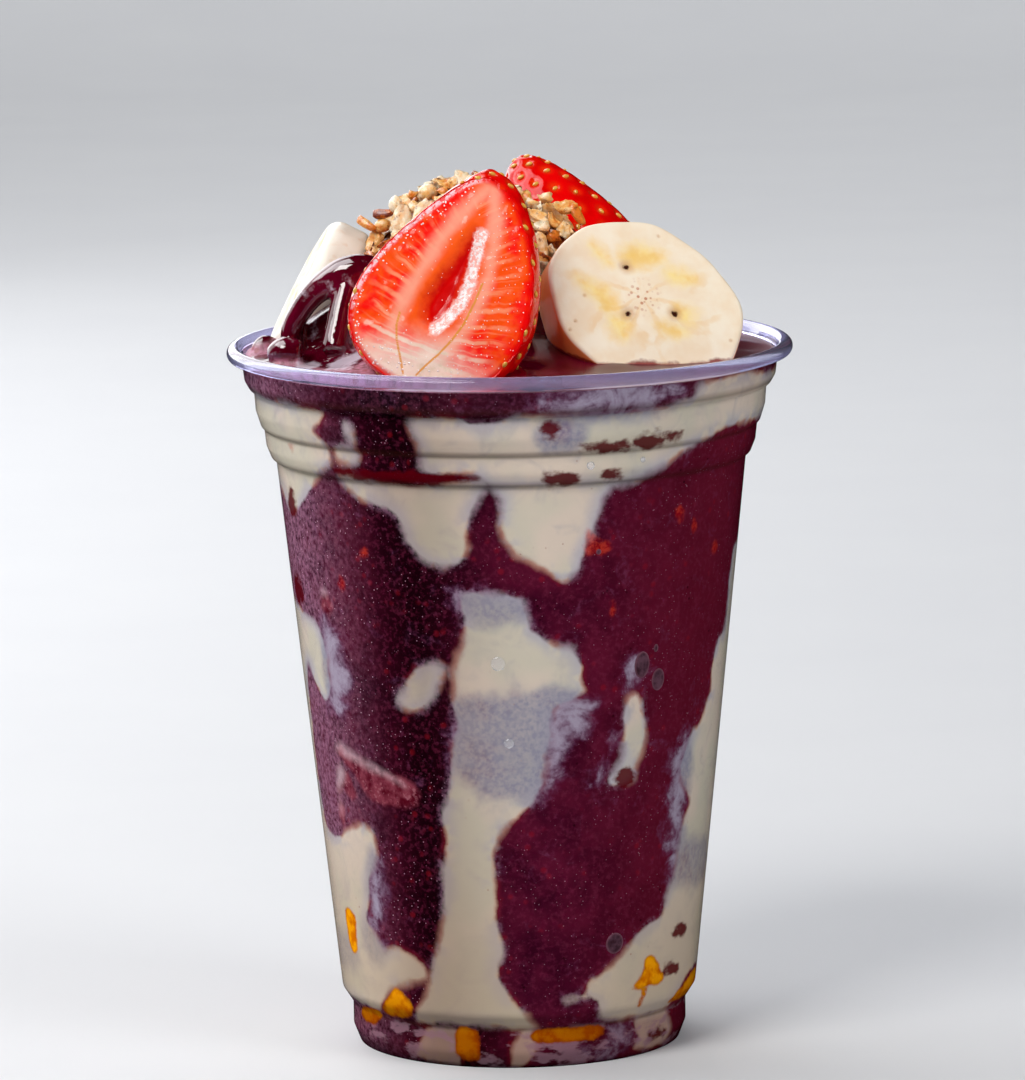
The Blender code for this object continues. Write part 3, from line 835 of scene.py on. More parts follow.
def glossy_acai_finish():
    """Glossy dark acai, mauve and rough where it is icy, with pale froth, painted lighter as a glare."""
    finish = Finish("glossy_acai", IOR=1.48, Specular_IOR_Level=1.0)
    grainy = finish.noise(1.1, detail=3.0, rough=0.65)
    cloud = finish.noise(7.0, detail=4.0)
    icy = finish.attribute("icy")
    colour = finish.blend(finish.fade(cloud, 0.35, 0.65), shown(80, 6, 26), shown(104, 14, 42))
    colour = finish.coat(colour, icy, (128, 30, 50), 0.6)
    colour = finish.coat(colour, finish.product(icy, finish.fade(grainy, 0.3, 0.62)), (184, 112, 138))
    pulp = finish.product(finish.fade(finish.cells(2.4), 0.3, 0.15), icy)
    colour = finish.coat(colour, pulp, (150, 16, 30), 0.6)
    # Pale froth, with a painted glare over it
    froth = finish.mask("froth", 0.1, 0.5, (finish.noise(4.0, detail=3.0), 1.6), (grainy, 0.6), top=0.92)
    finish.set(Base_Color=finish.coat(colour, froth, (232, 220, 236)))
    finish.set(Roughness=finish.attribute("rough"))
    finish.bump(finish.calc("MULTIPLY", grainy, icy), 0.3, strength=0.6)
    return finish


def build_acai_top():
    rim = wall_radius(ACAI_LEVEL)
    radius = rim * np.linspace(0.0, 1.0, TOP_RINGS)[:, None]
    angle = round_angles(TOP_COLUMNS)[None, :]
    x, y = radius * np.cos(angle), radius * np.sin(angle)
    spots = np.stack([x, y, 0.0 * x], axis=-1)
    ripple = bumps(spots.reshape(-1, 3), 7.0).reshape(x.shape)
    inner = 1.0 - smoothstep(radius, rim - 6.0, rim)
    upper = np.stack([x, y, acai_top(x, y) + 0.45 * ripple * inner], axis=-1)
    lower = upper[::-1] * (0.965, 0.965, 1.0) - (0.0, 0.0, TOP_THICKNESS)
    heap = grid_mesh("heap", np.concatenate([upper, lower]))
    solid = joined("acai_top", [heap] + [add_limb("limb", limb) for limb in FOLD_LIMBS])
    mesh = applied(
        solid,
        ("REMESH", {"mode": "VOXEL", "voxel_size": FOLD_VOXEL * MM, "use_smooth_shade": True}),
        ("SMOOTH", {"factor": 0.5, "iterations": 10}))
    mesh.name = "acai_top"
    x, y, z = places(mesh).T
    heaped = 1.0 - smoothstep(z - acai_top(x, y), 0.8, 1.8)
    flat = np.stack([x, y], axis=1)
    dry = smoothstep(nearest_path(flat, PUDDLES), 2.2, 4.4)
    left = smoothstep(-x, -2.0, 26.0)
    icy = heaped * dry * np.maximum(left, 0.12 * smoothstep(np.hypot(x, y), 38.0, 44.0))
    rough = 0.06 + 0.55 * icy + 0.22 * heaped * smoothstep(x, 0.0, 14.0)
    reaches = [1.0 - np.hypot((x - a) / wide, (y - b) / deep) for a, b, wide, deep in FROTH]
    paint(mesh, icy=icy, rough=rough, froth=np.maximum(*reaches) * heaped)
    add_piece("acai_top", mesh, glossy_acai_finish(), "acai", "acai")


# ---- Strawberries ----

FRONT_BERRY = {"length": 40.5, "left": (14.3, 0.55), "right": (15.0, 0.27), "depth": (13.0, 0.35)}
FRONT_BERRY_CUT = 4.0
FRONT_BERRY_PLACE = ((-15.9, -33.2, 117.8), -8.0, 16.0, 18.0)
BACK_BERRY = {"length": 39.4, "left": (12.9, 0.43), "right": (12.9, 0.43), "depth": (12.5, 0.4)}
BACK_BERRY_CUT = 2.0
BACK_BERRY_PLACE = ((18.4, 14.0, 117.2), 180.0, -12.0, 24.5)
BERRY_COLUMNS = 250
BERRY_RINGS = 150
CUT_RINGS = 60
SEED_COUNT = 190              # round a whole berry
GOLDEN_ANGLE = math.pi * (3.0 - math.sqrt(5.0))
DIMPLE_RADIUS = 0.85
DIMPLE_DEPTH = 0.5

# On a berry's cut face, as (across, up) from its foot: the red hollow, the wet band of painted highlight on
# its right, the pale paths round it, and the two thin strands that run down to the stalk
HOLLOW = ((0.9, 29.5), (-0.6, 25), (-2.2, 20.5), (-3.6, 16), (-2.9, 12.4), (-0.4, 11.4), (1.6, 15),
          (2.2, 20), (2.2, 25))
WET_BAND = ((2.2, 28.6), (2.5, 24.5), (3.1, 20.5), (2.8, 17.2), (1.8, 14.4), (0.3, 11.6))
PALE_PATHS = (
    ((0.6, 36.6), (-2.2, 31.0), (-4.4, 25.0), (-5.6, 19.4), (-6.6, 14.0), (-7.0, 9.5)),
    ((1.6, 36.6), (3.8, 32.0), (5.0, 27.2), (5.8, 22.5), (5.6, 17.2), (4.6, 12.0), (3.0, 8.5)),
)
STRANDS = (
    ((-6.6, 12.0), (-6.4, 9.8), (-5.6, 7.6), (-4.2, 5.2), (-2.6, 2.4)),
    ((5.2, 21.0), (5.0, 17.6), (4.5, 13.6), (3.4, 10.2), (2.0, 7.2), (0.6, 4.8), (-0.4, 2.8)),
)
STALK_TOP = (0.5, 11.5)       # where the pale flesh above the stalk ends
VEIN_ROOT = 5.0               # veins are level at this height and fan out above it
VEIN_SPREAD = 0.038
VEIN_GAP = 2.3
FACE_DEPTH = 1.7              # of the hollow in the cut face


def facing(centre, yaw, lean, roll=0.0):
    """Placement in millimetres that turns local -Y to yaw from the front and tips it up by lean."""
    turn = Matrix.Rotation(math.radians(yaw), 4, "Z") @ Matrix.Rotation(math.radians(-lean), 4, "X")
    return np.array(Matrix.Translation(centre) @ turn @ Matrix.Rotation(math.radians(roll), 4, "Y"))


def move_to(mesh, spots):
    """Gives the mesh new places for its vertices, in millimetres."""
    mesh.vertices.foreach_set("co", (spots * MM).astype(np.float32).ravel())
    mesh.update()


def placed(spots, placement):
    return spots @ placement[:3, :3].T + placement[:3, 3]


def egg(side, angle):
    """Half-width of a strawberry at an angle measured from its tip."""
    reach, taper = side
    return reach * np.sin(angle) * (1.0 - taper * np.cos(angle))


def berry_point(form, angle, around):
    side = np.where(np.cos(around) > 0.0, egg(form["right"], angle), egg(form["left"], angle))
    height = form["length"] * (1.0 + np.cos(angle)) / 2
    return np.stack([side * np.cos(around), egg(form["depth"], angle) * np.sin(around),
                     height + 0.0 * around], axis=-1)


def seed_places(form):
    """Seeds in the spiral that strawberries grow them in, evenly spread from tip to foot."""
    angle = np.linspace(0.0, math.pi, 400)
    area = np.cumsum(egg(form["depth"], angle))
    share = (np.arange(SEED_COUNT) + 0.5) / SEED_COUNT
    return berry_point(form, np.interp(share, area / area[-1], angle), np.arange(SEED_COUNT) * GOLDEN_ANGLE)


def close_cut(shape, rim):
    """Fills a sliced end with rings of fine faces running in to its middle."""
    neighbours = {}
    for edge in rim:
        for vertex in edge.verts:
            neighbours.setdefault(vertex, []).append(edge.other_vert(vertex))
    loop = [rim[0].verts[0]]
    while len(loop) < len(neighbours):
        following = [vertex for vertex in neighbours[loop[-1]] if vertex not in loop[-2:]]
        loop.append(following[0])
    turning = sum(a.co.x * b.co.z - b.co.x * a.co.z for a, b in zip(loop, loop[1:] + loop[:1]))
    if turning < 0.0:
        loop.reverse()
    middle = sum((vertex.co for vertex in loop), Vector()) / len(loop)
    outer = loop
    for ring in range(1, CUT_RINGS):
        share = 1.0 - ring / CUT_RINGS
        inner = [shape.verts.new(middle.lerp(vertex.co, share)) for vertex in loop]
        for index in range(len(loop)):
            beside = (index + 1) % len(loop)
            shape.faces.new((outer[index], outer[beside], inner[beside], inner[index]))
        outer = inner
    hub = shape.verts.new(middle)
    for index in range(len(loop)):
        shape.faces.new((outer[index], outer[(index + 1) % len(loop)], hub))


def berry_mesh(name, form, cut):
    """A strawberry with dimples round its seeds, sliced flat at y = -cut, in its own place."""
    angle = np.linspace(0.0, math.pi, BERRY_RINGS)[:, None]
    around = round_angles(BERRY_COLUMNS)[None, :]
    mesh = grid_mesh(name, berry_point(form, angle, around))
    spots = places(mesh)
    seeds = seed_places(form)
    nearest = np.full(len(spots), np.inf)
    for seed in seeds:
        nearest = np.minimum(nearest, np.linalg.norm(spots - seed, axis=1))
    dimple = np.exp(-(nearest / DIMPLE_RADIUS) ** 2)
    swell = 0.12 * bumps(spots, 6.0) - DIMPLE_DEPTH * dimple
    move_to(mesh, spots + vertex_normals(mesh) * swell[:, None])
    paint(mesh, dimple=dimple)

    with reshaping(mesh) as shape:
        everything = shape.verts[:] + shape.edges[:] + shape.faces[:]
        sliced = bmesh.ops.bisect_plane(
            shape, geom=everything, plane_co=(0.0, -cut * MM, 0.0), plane_no=(0.0, -1.0, 0.0),
            clear_outer=True)
        close_cut(shape, [part for part in sliced["geom_cut"] if isinstance(part, bmesh.types.BMEdge)])
    mesh.shade_smooth()
    return mesh, seeds


def path_distance(spots, path):
    """Distance of each spot from an open path of straight runs."""
    nearest = np.full(len(spots), np.inf)
    for start, end in zip(np.array(path[:-1], float), np.array(path[1:], float)):
        along = end - start
        share = np.clip((spots - start) @ along / (along @ along), 0.0, 1.0)
        nearest = np.minimum(nearest, np.hypot(*(spots - start - share[:, None] * along).T))
    return nearest


def nearest_path(spots, paths):
    return np.min([path_distance(spots, path) for path in paths], axis=0)


def strawberry_finish(name):
    finish = Finish(name, IOR=1.4, Specular_IOR_Level=0.12, Coat_Weight=0.35, Coat_Roughness=0.04)
    fine = finish.noise(0.8, detail=3.0, rough=0.6)
    broad = finish.noise(4.0, detail=3.0)
    face, rim = finish.attribute("face"), finish.attribute("rim")
    skin = finish.blend(finish.fade(broad, 0.35, 0.65), shown(216, 2, 8), shown(240, 8, 12))
    skin = finish.coat(skin, finish.attribute("dimple"), (246, 70, 24))

    flesh = finish.blend(finish.fade(broad, 0.38, 0.62), shown(254, 20, 0), shown(255, 82, 18))
    flesh = finish.coat(flesh, finish.mask("hollow", -5.0, -1.0, top=0.8), (255, 96, 34))
    wave = finish.swayed(finish.attribute("vein"), (broad, 0.9), (finish.noise(9.0), 2.2))
    turn = finish.calc("MULTIPLY", wave, 2.0 * math.pi / VEIN_GAP)
    finer = finish.fade(finish.calc("SINE", finish.calc("MULTIPLY", turn, 2.3)), 0.5, 1.0, 0.35)
    vein = finish.calc("MAXIMUM", finish.fade(finish.calc("SINE", turn), 0.35, 1.0), finer)
    vein = finish.product(
        vein, finish.fade(rim, 0.8, 5.0), finish.fade(finish.noise(3.0), 0.3, 0.55),
        finish.mask("hollow", -1.5, -4.5))
    flesh = finish.coat(flesh, vein, (255, 158, 116), 0.75)
    flesh = finish.coat(flesh, finish.mask("pale", 2.3, 0.0, (broad, 2.2), top=0.85), (255, 166, 138))
    flesh = finish.coat(flesh, finish.mask("hollow", -1.0, 1.6, (broad, 3.0), (fine, 1.0)), (212, 4, 2))
    # Painted highlight, with painted glints, along the wet band at the hollow's right
    band = finish.swayed(finish.attribute("band"), (fine, 1.6), (broad, 1.6))
    flesh = finish.coat(flesh, finish.fade(band, 1.6, 0.7, 0.75), (255, 200, 192))
    glint = finish.product(finish.fade(band, 1.4, 0.8), finish.fade(fine, 0.45, 0.53))
    flesh = finish.coat(flesh, glint, (255, 246, 246))
    stalk = finish.swayed(finish.attribute("stalk"), (broad, 6.0), (vein, 3.0))
    glass = finish.fade(finish.noise(2.6, detail=4.0), 0.48, 0.66, 0.6)
    flesh = finish.coat(flesh, finish.fade(stalk, -4.0, 5.0, 0.92), (246, 224, 206))
    flesh = finish.coat(flesh, finish.product(finish.fade(stalk, 0.0, 5.0), glass), (220, 196, 166))
    flesh = finish.coat(flesh, finish.mask("strand", 0.28, 0.08, (fine, 0.2), top=0.9), (228, 146, 52))
    flesh = finish.coat(flesh, finish.fade(rim, 1.3, 0.2, 0.9), (236, 8, 16))
    # Painted glint along the lit upper-left edge of the cut face
    wet = finish.calc("MULTIPLY", finish.attribute("wet_edge"), finish.fade(fine, 0.4, 0.56))
    flesh = finish.coat(flesh, wet, (255, 208, 220))
    finish.set(Base_Color=finish.blend(finish.fade(face, 0.2, 0.8), skin, flesh))
    finish.set(Roughness=finish.calc("MULTIPLY_ADD", face, 0.22, 0.14))
    finish.bump(finish.calc("MULTIPLY", fine, face), 0.12, strength=0.5)
    return finish


def seed_mesh(name, seeds, middle):
    """Every seed of a berry in one mesh: flat drops that point from the stalk to the tip."""
    pieces = []
    for seed in seeds:
        out = Vector(seed - middle).normalized()
        side = Vector((0.0, 0.0, 1.0)).cross(out).normalized()
        drop = bmesh.new()
        bmesh.ops.create_uvsphere(drop, u_segments=10, v_segments=8, radius=1.0)
        for vertex in drop.verts:
            narrow = 1.0 - 0.35 * vertex.co.z
            local = side * (0.38 * narrow * vertex.co.x) + out * (0.34 * vertex.co.y)
            local += out.cross(side) * (-0.62 * vertex.co.z)
            vertex.co = (Vector(seed) - out * 0.26 + local) * MM
        mesh = bpy.data.meshes.new(name)
        drop.to_mesh(mesh)
        drop.free()
        pieces.append(mesh)
    mesh = joined(name, pieces)
    mesh.shade_smooth()
    return mesh


def cut_outline(form, cut):
    """Outline of a berry's cut face, as (across, up)."""
    angle = np.linspace(0.0, math.pi, 200)
    half = np.sqrt(np.clip(1.0 - (cut / np.maximum(egg(form["depth"], angle), cut)) ** 2, 0.0, 1.0))
    height = form["length"] * (1.0 + np.cos(angle)) / 2
    left = np.stack([-egg(form["left"], angle) * half, height], axis=1)[half > 0.0]
    right = np.stack([egg(form["right"], angle) * half, height], axis=1)[half > 0.0]
    return np.concatenate([left, right[::-1]])


def build_berry(name, form, cut, place, node):
    placement = facing(*place)
    mesh, seeds = berry_mesh(name, form, cut)
    spots = places(mesh)
    across, depth, up = spots.T
    on_face = depth < 0.001 - cut
    flat = np.stack([across, up], axis=1)

    rim = np.where(on_face, np.maximum(inside_depth(flat, cut_outline(form, cut)), 0.0), -1.0)
    hollow = np.where(on_face, inside_depth(flat, closed_curve(HOLLOW)), -9.0)
    lit_side = smoothstep(-across, -1.0, 2.0) * smoothstep(up, 7.0, 13.0)
    paint(
        mesh,
        rim=rim,
        hollow=hollow,
        face=smoothstep(rim, -0.1, 0.35),
        # painted glint on the lit upper-left edge
        wet_edge=0.9 * lit_side * smoothstep(-rim, -1.3, -0.4) * (rim > 0.0),
        band=path_distance(flat, WET_BAND),
        pale=nearest_path(flat, PALE_PATHS),
        strand=nearest_path(flat, STRANDS),
        vein=VEIN_ROOT + (up - VEIN_ROOT) / (1.0 + VEIN_SPREAD * np.abs(across)),
        stalk=STALK_TOP[1] - up - 0.4 * np.abs(across - STALK_TOP[0]))
    sunk = FACE_DEPTH * smoothstep(hollow, -1.2, 2.0) + 0.35 * (1.0 - smoothstep(rim, 0.0, 0.9))
    spots[:, 1] += np.where(on_face, sunk + 0.12 * bumps(spots, 1.6), 0.0)
    move_to(mesh, placed(spots, placement))
    add_piece(name, mesh, strawberry_finish(name), "strawberry", node)

    gold = Finish(name + "_seeds", Roughness=0.3, Coat_Weight=0.4)
    gold.set(Base_Color=gold.blend(gold.noise(0.8), shown(214, 140, 24), shown(240, 200, 96)))
    kept_seeds = seeds[seeds[:, 1] > -cut - 0.2]
    middle = placed(np.array([[0.0, 0.0, form["length"] * 0.42]]), placement)[0]
    outward = placed(kept_seeds, placement)
    add_piece(name + "_seeds", seed_mesh(name + "_seeds", outward, middle), gold, "strawberry")
    return mesh, placement


def scatter_sparkles(mesh, placement):
    """Droplets, coloured near white as painted glints, on the front berry's cut face: along its veins, in
    its band of painted highlight and round its edge.
    """
    random = np.random.default_rng(SEED)
    outline = cut_outline(FRONT_BERRY, FRONT_BERRY_CUT)
    spots = []
    for level in np.arange(6.0, 34.0, VEIN_GAP / 2):
        for across in np.arange(4.0, 15.0, 0.85):
            up = VEIN_ROOT + (level - VEIN_ROOT) * (1.0 + VEIN_SPREAD * across)
            spots.append((across, up, 0.1))
    for start, end in zip(WET_BAND[:-1], WET_BAND[1:]):
        for share in random.random(26):
            along = np.array(start) + share * (np.array(end) - np.array(start))
            spots.append((*(along + random.normal(0.0, 0.5, 2)), 0.15))
    for pick in random.integers(0, len(outline) // 2, 150):
        edge = outline[pick] * (0.97 - 0.08 * random.random()) + (0.0, 0.7)
        spots.append((*edge, 0.16))
    for across, up in zip(random.uniform(-9.0, 8.0, 60), random.uniform(1.2, 5.0, 60)):
        spots.append((across, up + 0.03 * across ** 2, 0.17))
    for across, up in zip(random.uniform(-10.0, 10.0, 110), random.uniform(5.0, 36.0, 110)):
        spots.append((across, up, 0.1))
    spots = np.array(spots)
    spots[:, :2] += random.normal(0.0, 0.22, (len(spots), 2))
    inside = inside_depth(spots[:, :2], outline) > 0.35
    tree = search_tree(mesh)
    inward = placement[:3, 1]
    items = []
    for across, up, size in spots[inside & (random.random(len(spots)) < 0.8)]:
        start = placed(np.array([across, -FRONT_BERRY_CUT - 3.0, up]), placement)
        place = tree.ray_cast(start, inward)[0]
        grown = size * random.uniform(0.6, 1.35)
        items.append((np.array(place), -inward, grown, 0.0, random.uniform(0.0, 6.0), 0.0))
    # The drops are coloured near white, as painted glints
    dew = Finish("juice_drops", Roughness=0.06, Coat_Weight=0.6)
    dew.set(Base_Color=dew.blend(dew.noise(2.0), shown(255, 222, 214), shown(255, 246, 244)))
    scatter("strawberry_front_juice", bead, 1, items, dew, "strawberry")


# ---- Banana slices ----

RIGHT_BANANA = {"long": 17.9, "short": 15.4, "turn": 140.0, "thick": 8.0, "edge": 0.9, "ripe": 1.0}
RIGHT_BANANA_PLACE = ((23.5, -18.7, 130.8), 20.0, 33.0)
LEFT_BANANA = {"long": 14.0, "short": 13.4, "turn": 20.0, "thick": 8.5, "edge": 2.6, "ripe": 0.0}
LEFT_BANANA_PLACE = ((-36.6, 9.0, 131.6), -88.0, 28.0)
BANANA_COLUMNS = 220
BANANA_FACE_RINGS = 56
BANANA_LOBES = 5
BANANA_LOBE_DEPTH = 0.015
STAIN_HEIGHT = 26.0           # the orange bounce light painted on the side fades out this far above the acai

# On a banana's cut face, as (across, up) from the middle: its seeds, the dark dots round its heart,
# and the clear yellow jelly round the seeds
BANANA_SEEDS = ((-2.1, 7.3), (-3.7, -1.5), (4.6, -2.0))
BANANA_SPECKS = ((5.0, 12.8), (-10.8, 2.4), (-13.5, -2.3), (13.7, -7.8), (-14.8, -3.9))
BANANA_HEART = (-0.5, 1.4)
JELLY = (
    ((-3.0, 9.4), (-1.0, 11.0), (2.4, 11.1), (5.4, 8.6), (3.4, 7.4), (0.0, 7.3), (-1.8, 8.0)),
    ((5.1, 6.7), (7.5, 6.2), (10.0, 4.6), (8.8, 3.4), (5.9, 3.5), (4.3, 5.4)),
    ((-11.6, 6.0), (-8.0, 4.6), (-6.0, 2.9), (-5.4, -0.4), (-7.4, -1.0), (-9.0, 1.2), (-10.9, 4.0)),
    ((-7.6, -1.8), (-4.2, -1.9), (-4.0, -4.2), (-5.3, -6.5), (-7.0, -5.3)),
    ((1.2, -4.0), (4.1, -4.2), (6.6, -5.6), (3.7, -6.6)),
    ((5.5, -0.8), (8.6, -1.8), (7.4, -4.2), (5.3, -3.6)),
    ((-7.9, 11.8), (-6.7, 11.9), (-4.6, 8.6), (-5.5, 8.0), (-7.2, 9.8)),
)


def banana_radius(form, angle):
    across = angle - math.radians(form["turn"])
    lobes = 1.0 + BANANA_LOBE_DEPTH * np.cos(BANANA_LOBES * across)
    return np.hypot(form["long"] * np.cos(across), form["short"] * np.sin(across)) * lobes


def banana_finish(name, ripe):
    finish = Finish(
        name, Roughness=0.4, IOR=1.4, Specular_IOR_Level=0.25, Coat_Weight=0.2, Coat_Roughness=0.12)
    broad = finish.noise(5.5, detail=3.0)
    fine = finish.noise(1.4, detail=3.0)
    flesh = finish.blend(finish.fade(broad, 0.3, 0.7), shown(246, 223, 192), shown(251, 237, 214))
    # Painted light: the slice out of shade is painted paler
    flesh = finish.coat(flesh, 0.6 - 0.6 * ripe, (255, 251, 244))
    spoke = finish.swayed(finish.attribute("spoke"), (finish.noise(9.0), 1.6), (broad, 0.7))
    line = finish.fade(finish.calc("SINE", finish.calc("MULTIPLY", spoke, 7.0)), 0.45, 1.0)
    line = finish.product(
        line, finish.fade(finish.noise(7.0), 0.36, 0.58, 0.6), finish.mask("rim", 1.0, 5.0))
    flesh = finish.coat(flesh, line, (242, 206, 158))
    patch = finish.blend(finish.fade(broad, 0.42, 0.6), shown(255, 226, 142), shown(246, 200, 104))
    jelly = finish.calc("MULTIPLY", finish.mask("jelly", -2.0, 2.0, (broad, 4.0), (fine, 2.0)), 0.85)
    flesh = finish.blend(jelly, flesh, patch)
    seed = finish.swayed(finish.attribute("seed"), (fine, 1.2))
    flesh = finish.coat(flesh, finish.fade(seed, 2.0, 0.4, 0.55), (196, 140, 84))
    flesh = finish.coat(flesh, finish.fade(seed, 0.7, 0.35), (58, 24, 12))
    fibres = finish.product(
        finish.fade(finish.noise(3.2, squeeze=(1.0, 1.0, 0.25)), 0.5, 0.66, 0.5), finish.attribute("side"))
    flesh = finish.coat(flesh, fibres, (232, 190, 148))
    heart = finish.product(finish.mask("heart", 4.4, 0.6), finish.fade(finish.cells(0.95), 0.4, 0.2))
    flesh = finish.coat(flesh, heart, (190, 112, 72), 0.8)
    # Painted bounce light: orange from the acai on the side of the slice in shade
    flesh = finish.coat(flesh, finish.mask("stain", 0.1, 0.75, (broad, 0.3), top=0.94), (250, 138, 66))
    foot = finish.mask("foot", -0.3, 0.4, (fine, 0.8), (broad, 2.4), top=0.9)
    finish.set(Base_Color=finish.coat(flesh, foot, (132, 14, 28)))
    finish.bump(fine, 0.12, strength=0.5)
    return finish


def build_banana(name, form, place, node):
    placement = facing(*place)
    angle = round_angles(BANANA_COLUMNS)
    rim = banana_radius(form, angle) - 0.15 + 0.15 * np.cos(9.0 * angle + 1.0)
    thick, edge = form["thick"], form["edge"]
    profile = [(share, 0.0, 0.0) for share in np.linspace(0.0, 1.0, BANANA_FACE_RINGS)]
    for turn in np.linspace(0.0, math.pi / 2, 9)[1:]:
        profile.append((1.0, math.sin(turn), edge * (1.0 - math.cos(turn))))
    for depth in np.linspace(edge, thick / 2, 12)[1:]:
        profile.append((1.0, 1.0, depth))
    profile += [(share, grown, thick - depth) for share, grown, depth in profile[-2::-1]]
    rows = []
    for share, grown, depth in profile:
        radius = (rim - edge) * share + edge * grown
        rows.append([radius * np.cos(angle), depth + 0.0 * angle, radius * np.sin(angle)])
    mesh = grid_mesh(name, np.moveaxis(np.array(rows), 1, -1))

    spots = places(mesh)
    across, depth, up = spots.T
    flat = np.stack([across, up], axis=1)
    reach = np.hypot(across, up)

    def distance(points):
        return np.min([np.hypot(across - x, up - z) for x, z in points], axis=0)

    seed = np.minimum(distance(BANANA_SEEDS), 3.0 * distance(BANANA_SPECKS) + 0.2)
    jelly = np.max([inside_depth(flat, closed_curve(outline)) for outline in JELLY], axis=0)
    side = smoothstep(np.minimum(depth, thick - depth), 0.1, edge)
    world = placed(spots, placement)
    above = world[:, 2] - acai_top(world[:, 0], world[:, 1])
    paint(
        mesh,
        rim=inside_depth(flat, np.stack([rim * np.cos(angle), rim * np.sin(angle)], axis=1)),
        spoke=np.abs(np.arctan2(across - BANANA_HEART[0], up - BANANA_HEART[1])),
        side=side,
        seed=seed + 9.0 * side,
        jelly=jelly - 9.0 * side,
        heart=distance([BANANA_HEART]) + 9.0 * side,
        stain=side * form["ripe"] * (1.0 - np.maximum(above, 0.0) / STAIN_HEIGHT),
        foot=0.35 - above)
    sunk = 0.25 * np.exp(-(seed / 0.8) ** 2) + 0.15 * smoothstep(jelly, -0.5, 1.0)
    relief = 0.12 * bumps(spots, 3.0)
    spots[:, 1] += np.where(depth < 0.01, sunk + 0.1 * relief, 0.0)
    spots[:, [0, 2]] += flat / np.maximum(reach, 0.1)[:, None] * (relief * side)[:, None]
    move_to(mesh, placed(spots, placement))
    add_piece(name, mesh, banana_finish(name, form["ripe"]), "banana", node)


# ---- Granola ----

GRANOLA_SKIN = 1.5            # the core lies this far inside the heap's outline
TOPPINGS = ("strawberry_front", "strawberry_back", "banana_right", "banana_left")
TOPPING_CLEARANCE = 1.0


def unit_ball(level):
    ball = bmesh.new()
    bmesh.ops.create_icosphere(ball, subdivisions=level, radius=1.0)
    spots = np.array([tuple(vertex.co) for vertex in ball.verts])
    faces = np.array([[vertex.index for vertex in face.verts] for face in ball.faces])
    ball.free()
    return spots, faces


def flake(ball, wobble):
    """Rolled oat: a thin curled oval with a crease along it and a ragged edge."""
    x, y, z = ball.T
    ragged = 1.0 + 0.4 * wobble
    crease = 0.26 * np.exp(-(y / 0.16) ** 2) * (z > 0.0)
    curl = 0.34 * x * x - 0.24 * y * y + 0.26 * wobble
    return np.stack([x * ragged, 0.64 * y * ragged, 0.22 * z + curl - crease], axis=-1)


def sliver(ball, wobble):
    """Cut stick of nut or dried fruit, square in section."""
    x, y, z = np.sign(ball.T) * np.abs(ball.T) ** np.array([[0.8], [0.5], [0.5]])
    taper = 1.0 - 0.25 * x
    return np.stack([x, (0.36 + 0.12 * wobble) * y * taper + 0.12 * x * x, 0.3 * z * taper], axis=-1)


def kernel(ball, wobble):
    """Half a nut: round on one side and flatter on the other."""
    x, y, z = ball.T
    swell = 1.0 + 0.16 * wobble
    return np.stack([x * swell, 0.8 * y * swell, np.where(z > 0.0, 0.8, 0.5) * z], axis=-1)


def lump(ball, wobble):
    """Crumb of baked oats, knobbly and flattened."""
    return ball * (1.0, 0.8, 0.7) * (0.85 + 0.85 * wobble)[:, None]


def bead(ball, wobble):
    """Drop of liquid lying on a surface."""
    return ball * (1.0, 1.0, 0.45) * (1.0 + 0.1 * wobble)[:, None]


# Larger pieces: (form, across, height, half-length, turn from +X in the front view, toasting)
LARGER_PIECES = (
    (sliver, -24.9, 143.2, 2.1, -48.0, 0.95), (sliver, -21.4, 144.6, 2.1, -10.0, 1.5),
    (kernel, -21.6, 142.6, 1.6, 0.0, 0.75), (flake, -23.1, 139.7, 2.3, 58.0, 0.7),
    (kernel, -19.3, 146.2, 1.6, 75.0, 0.1), (flake, -18.3, 143.0, 2.9, 72.0, 0.25),
    (lump, -16.2, 145.6, 1.5, 0.0, 0.3), (flake, -14.6, 144.4, 2.4, 50.0, 0.2),
    (kernel, -13.8, 148.2, 1.9, 20.0, 0.4), (lump, -16.4, 147.9, 1.0, 0.0, 0.8),
    (lump, -11.0, 148.3, 1.0, 0.0, 0.8), (lump, -12.2, 146.8, 0.9, 0.0, 0.5),
    (flake, 8.4, 143.7, 3.1, -42.0, 0.5), (lump, 6.6, 146.9, 1.4, 0.0, 0.5),
    (lump, 4.3, 146.0, 1.3, 0.0, 0.2), (flake, 5.0, 143.7, 1.8, -20.0, 0.4),
    (lump, 5.8, 141.6, 1.6, 0.0, 0.3), (sliver, 12.2, 144.2, 2.2, -50.0, 1.0),
    (flake, 5.6, 138.5, 2.1, -72.0, 0.4), (lump, 7.8, 140.0, 1.5, 0.0, 1.1),
    (flake, 10.6, 146.2, 2.0, 15.0, 0.6),
)
FRONT_VIEW = Vector((0.0, 0.988, -0.154))   # the way the front view looks
# Loose pieces: (name, form, fineness, count, gap, half-length, sunk by, tilt, toasting, finish)
LOOSE_PIECES = (
    ("granola_crumbs", lump, 2, 150, 1.4, 0.75, 0.9, 0.9, 0.75, "baked"),
    ("granola_flakes", flake, 3, 120, 2.1, 2.1, 0.2, 0.95, 0.35, "baked"),
    ("granola_kernels", kernel, 2, 26, 5.0, 1.2, 0.1, 0.5, 0.4, "nutty"),
    ("granola_slivers", sliver, 2, 44, 3.6, 1.9, 0.0, 0.6, 1.0, "nutty"),
)
TONE_SPREAD = 0.42            # of the toasting from piece to piece


def turned_to(normal, tilt, spin):
    """Rotation that lays local Z along the normal, tilted, after a spin."""
    upright = Vector((0.0, 0.0, 1.0)).rotation_difference(Vector(normal))
    lean = Matrix.Rotation(tilt, 3, "X") @ Matrix.Rotation(spin, 3, "Z")
    return np.array(upright.to_matrix() @ lean)


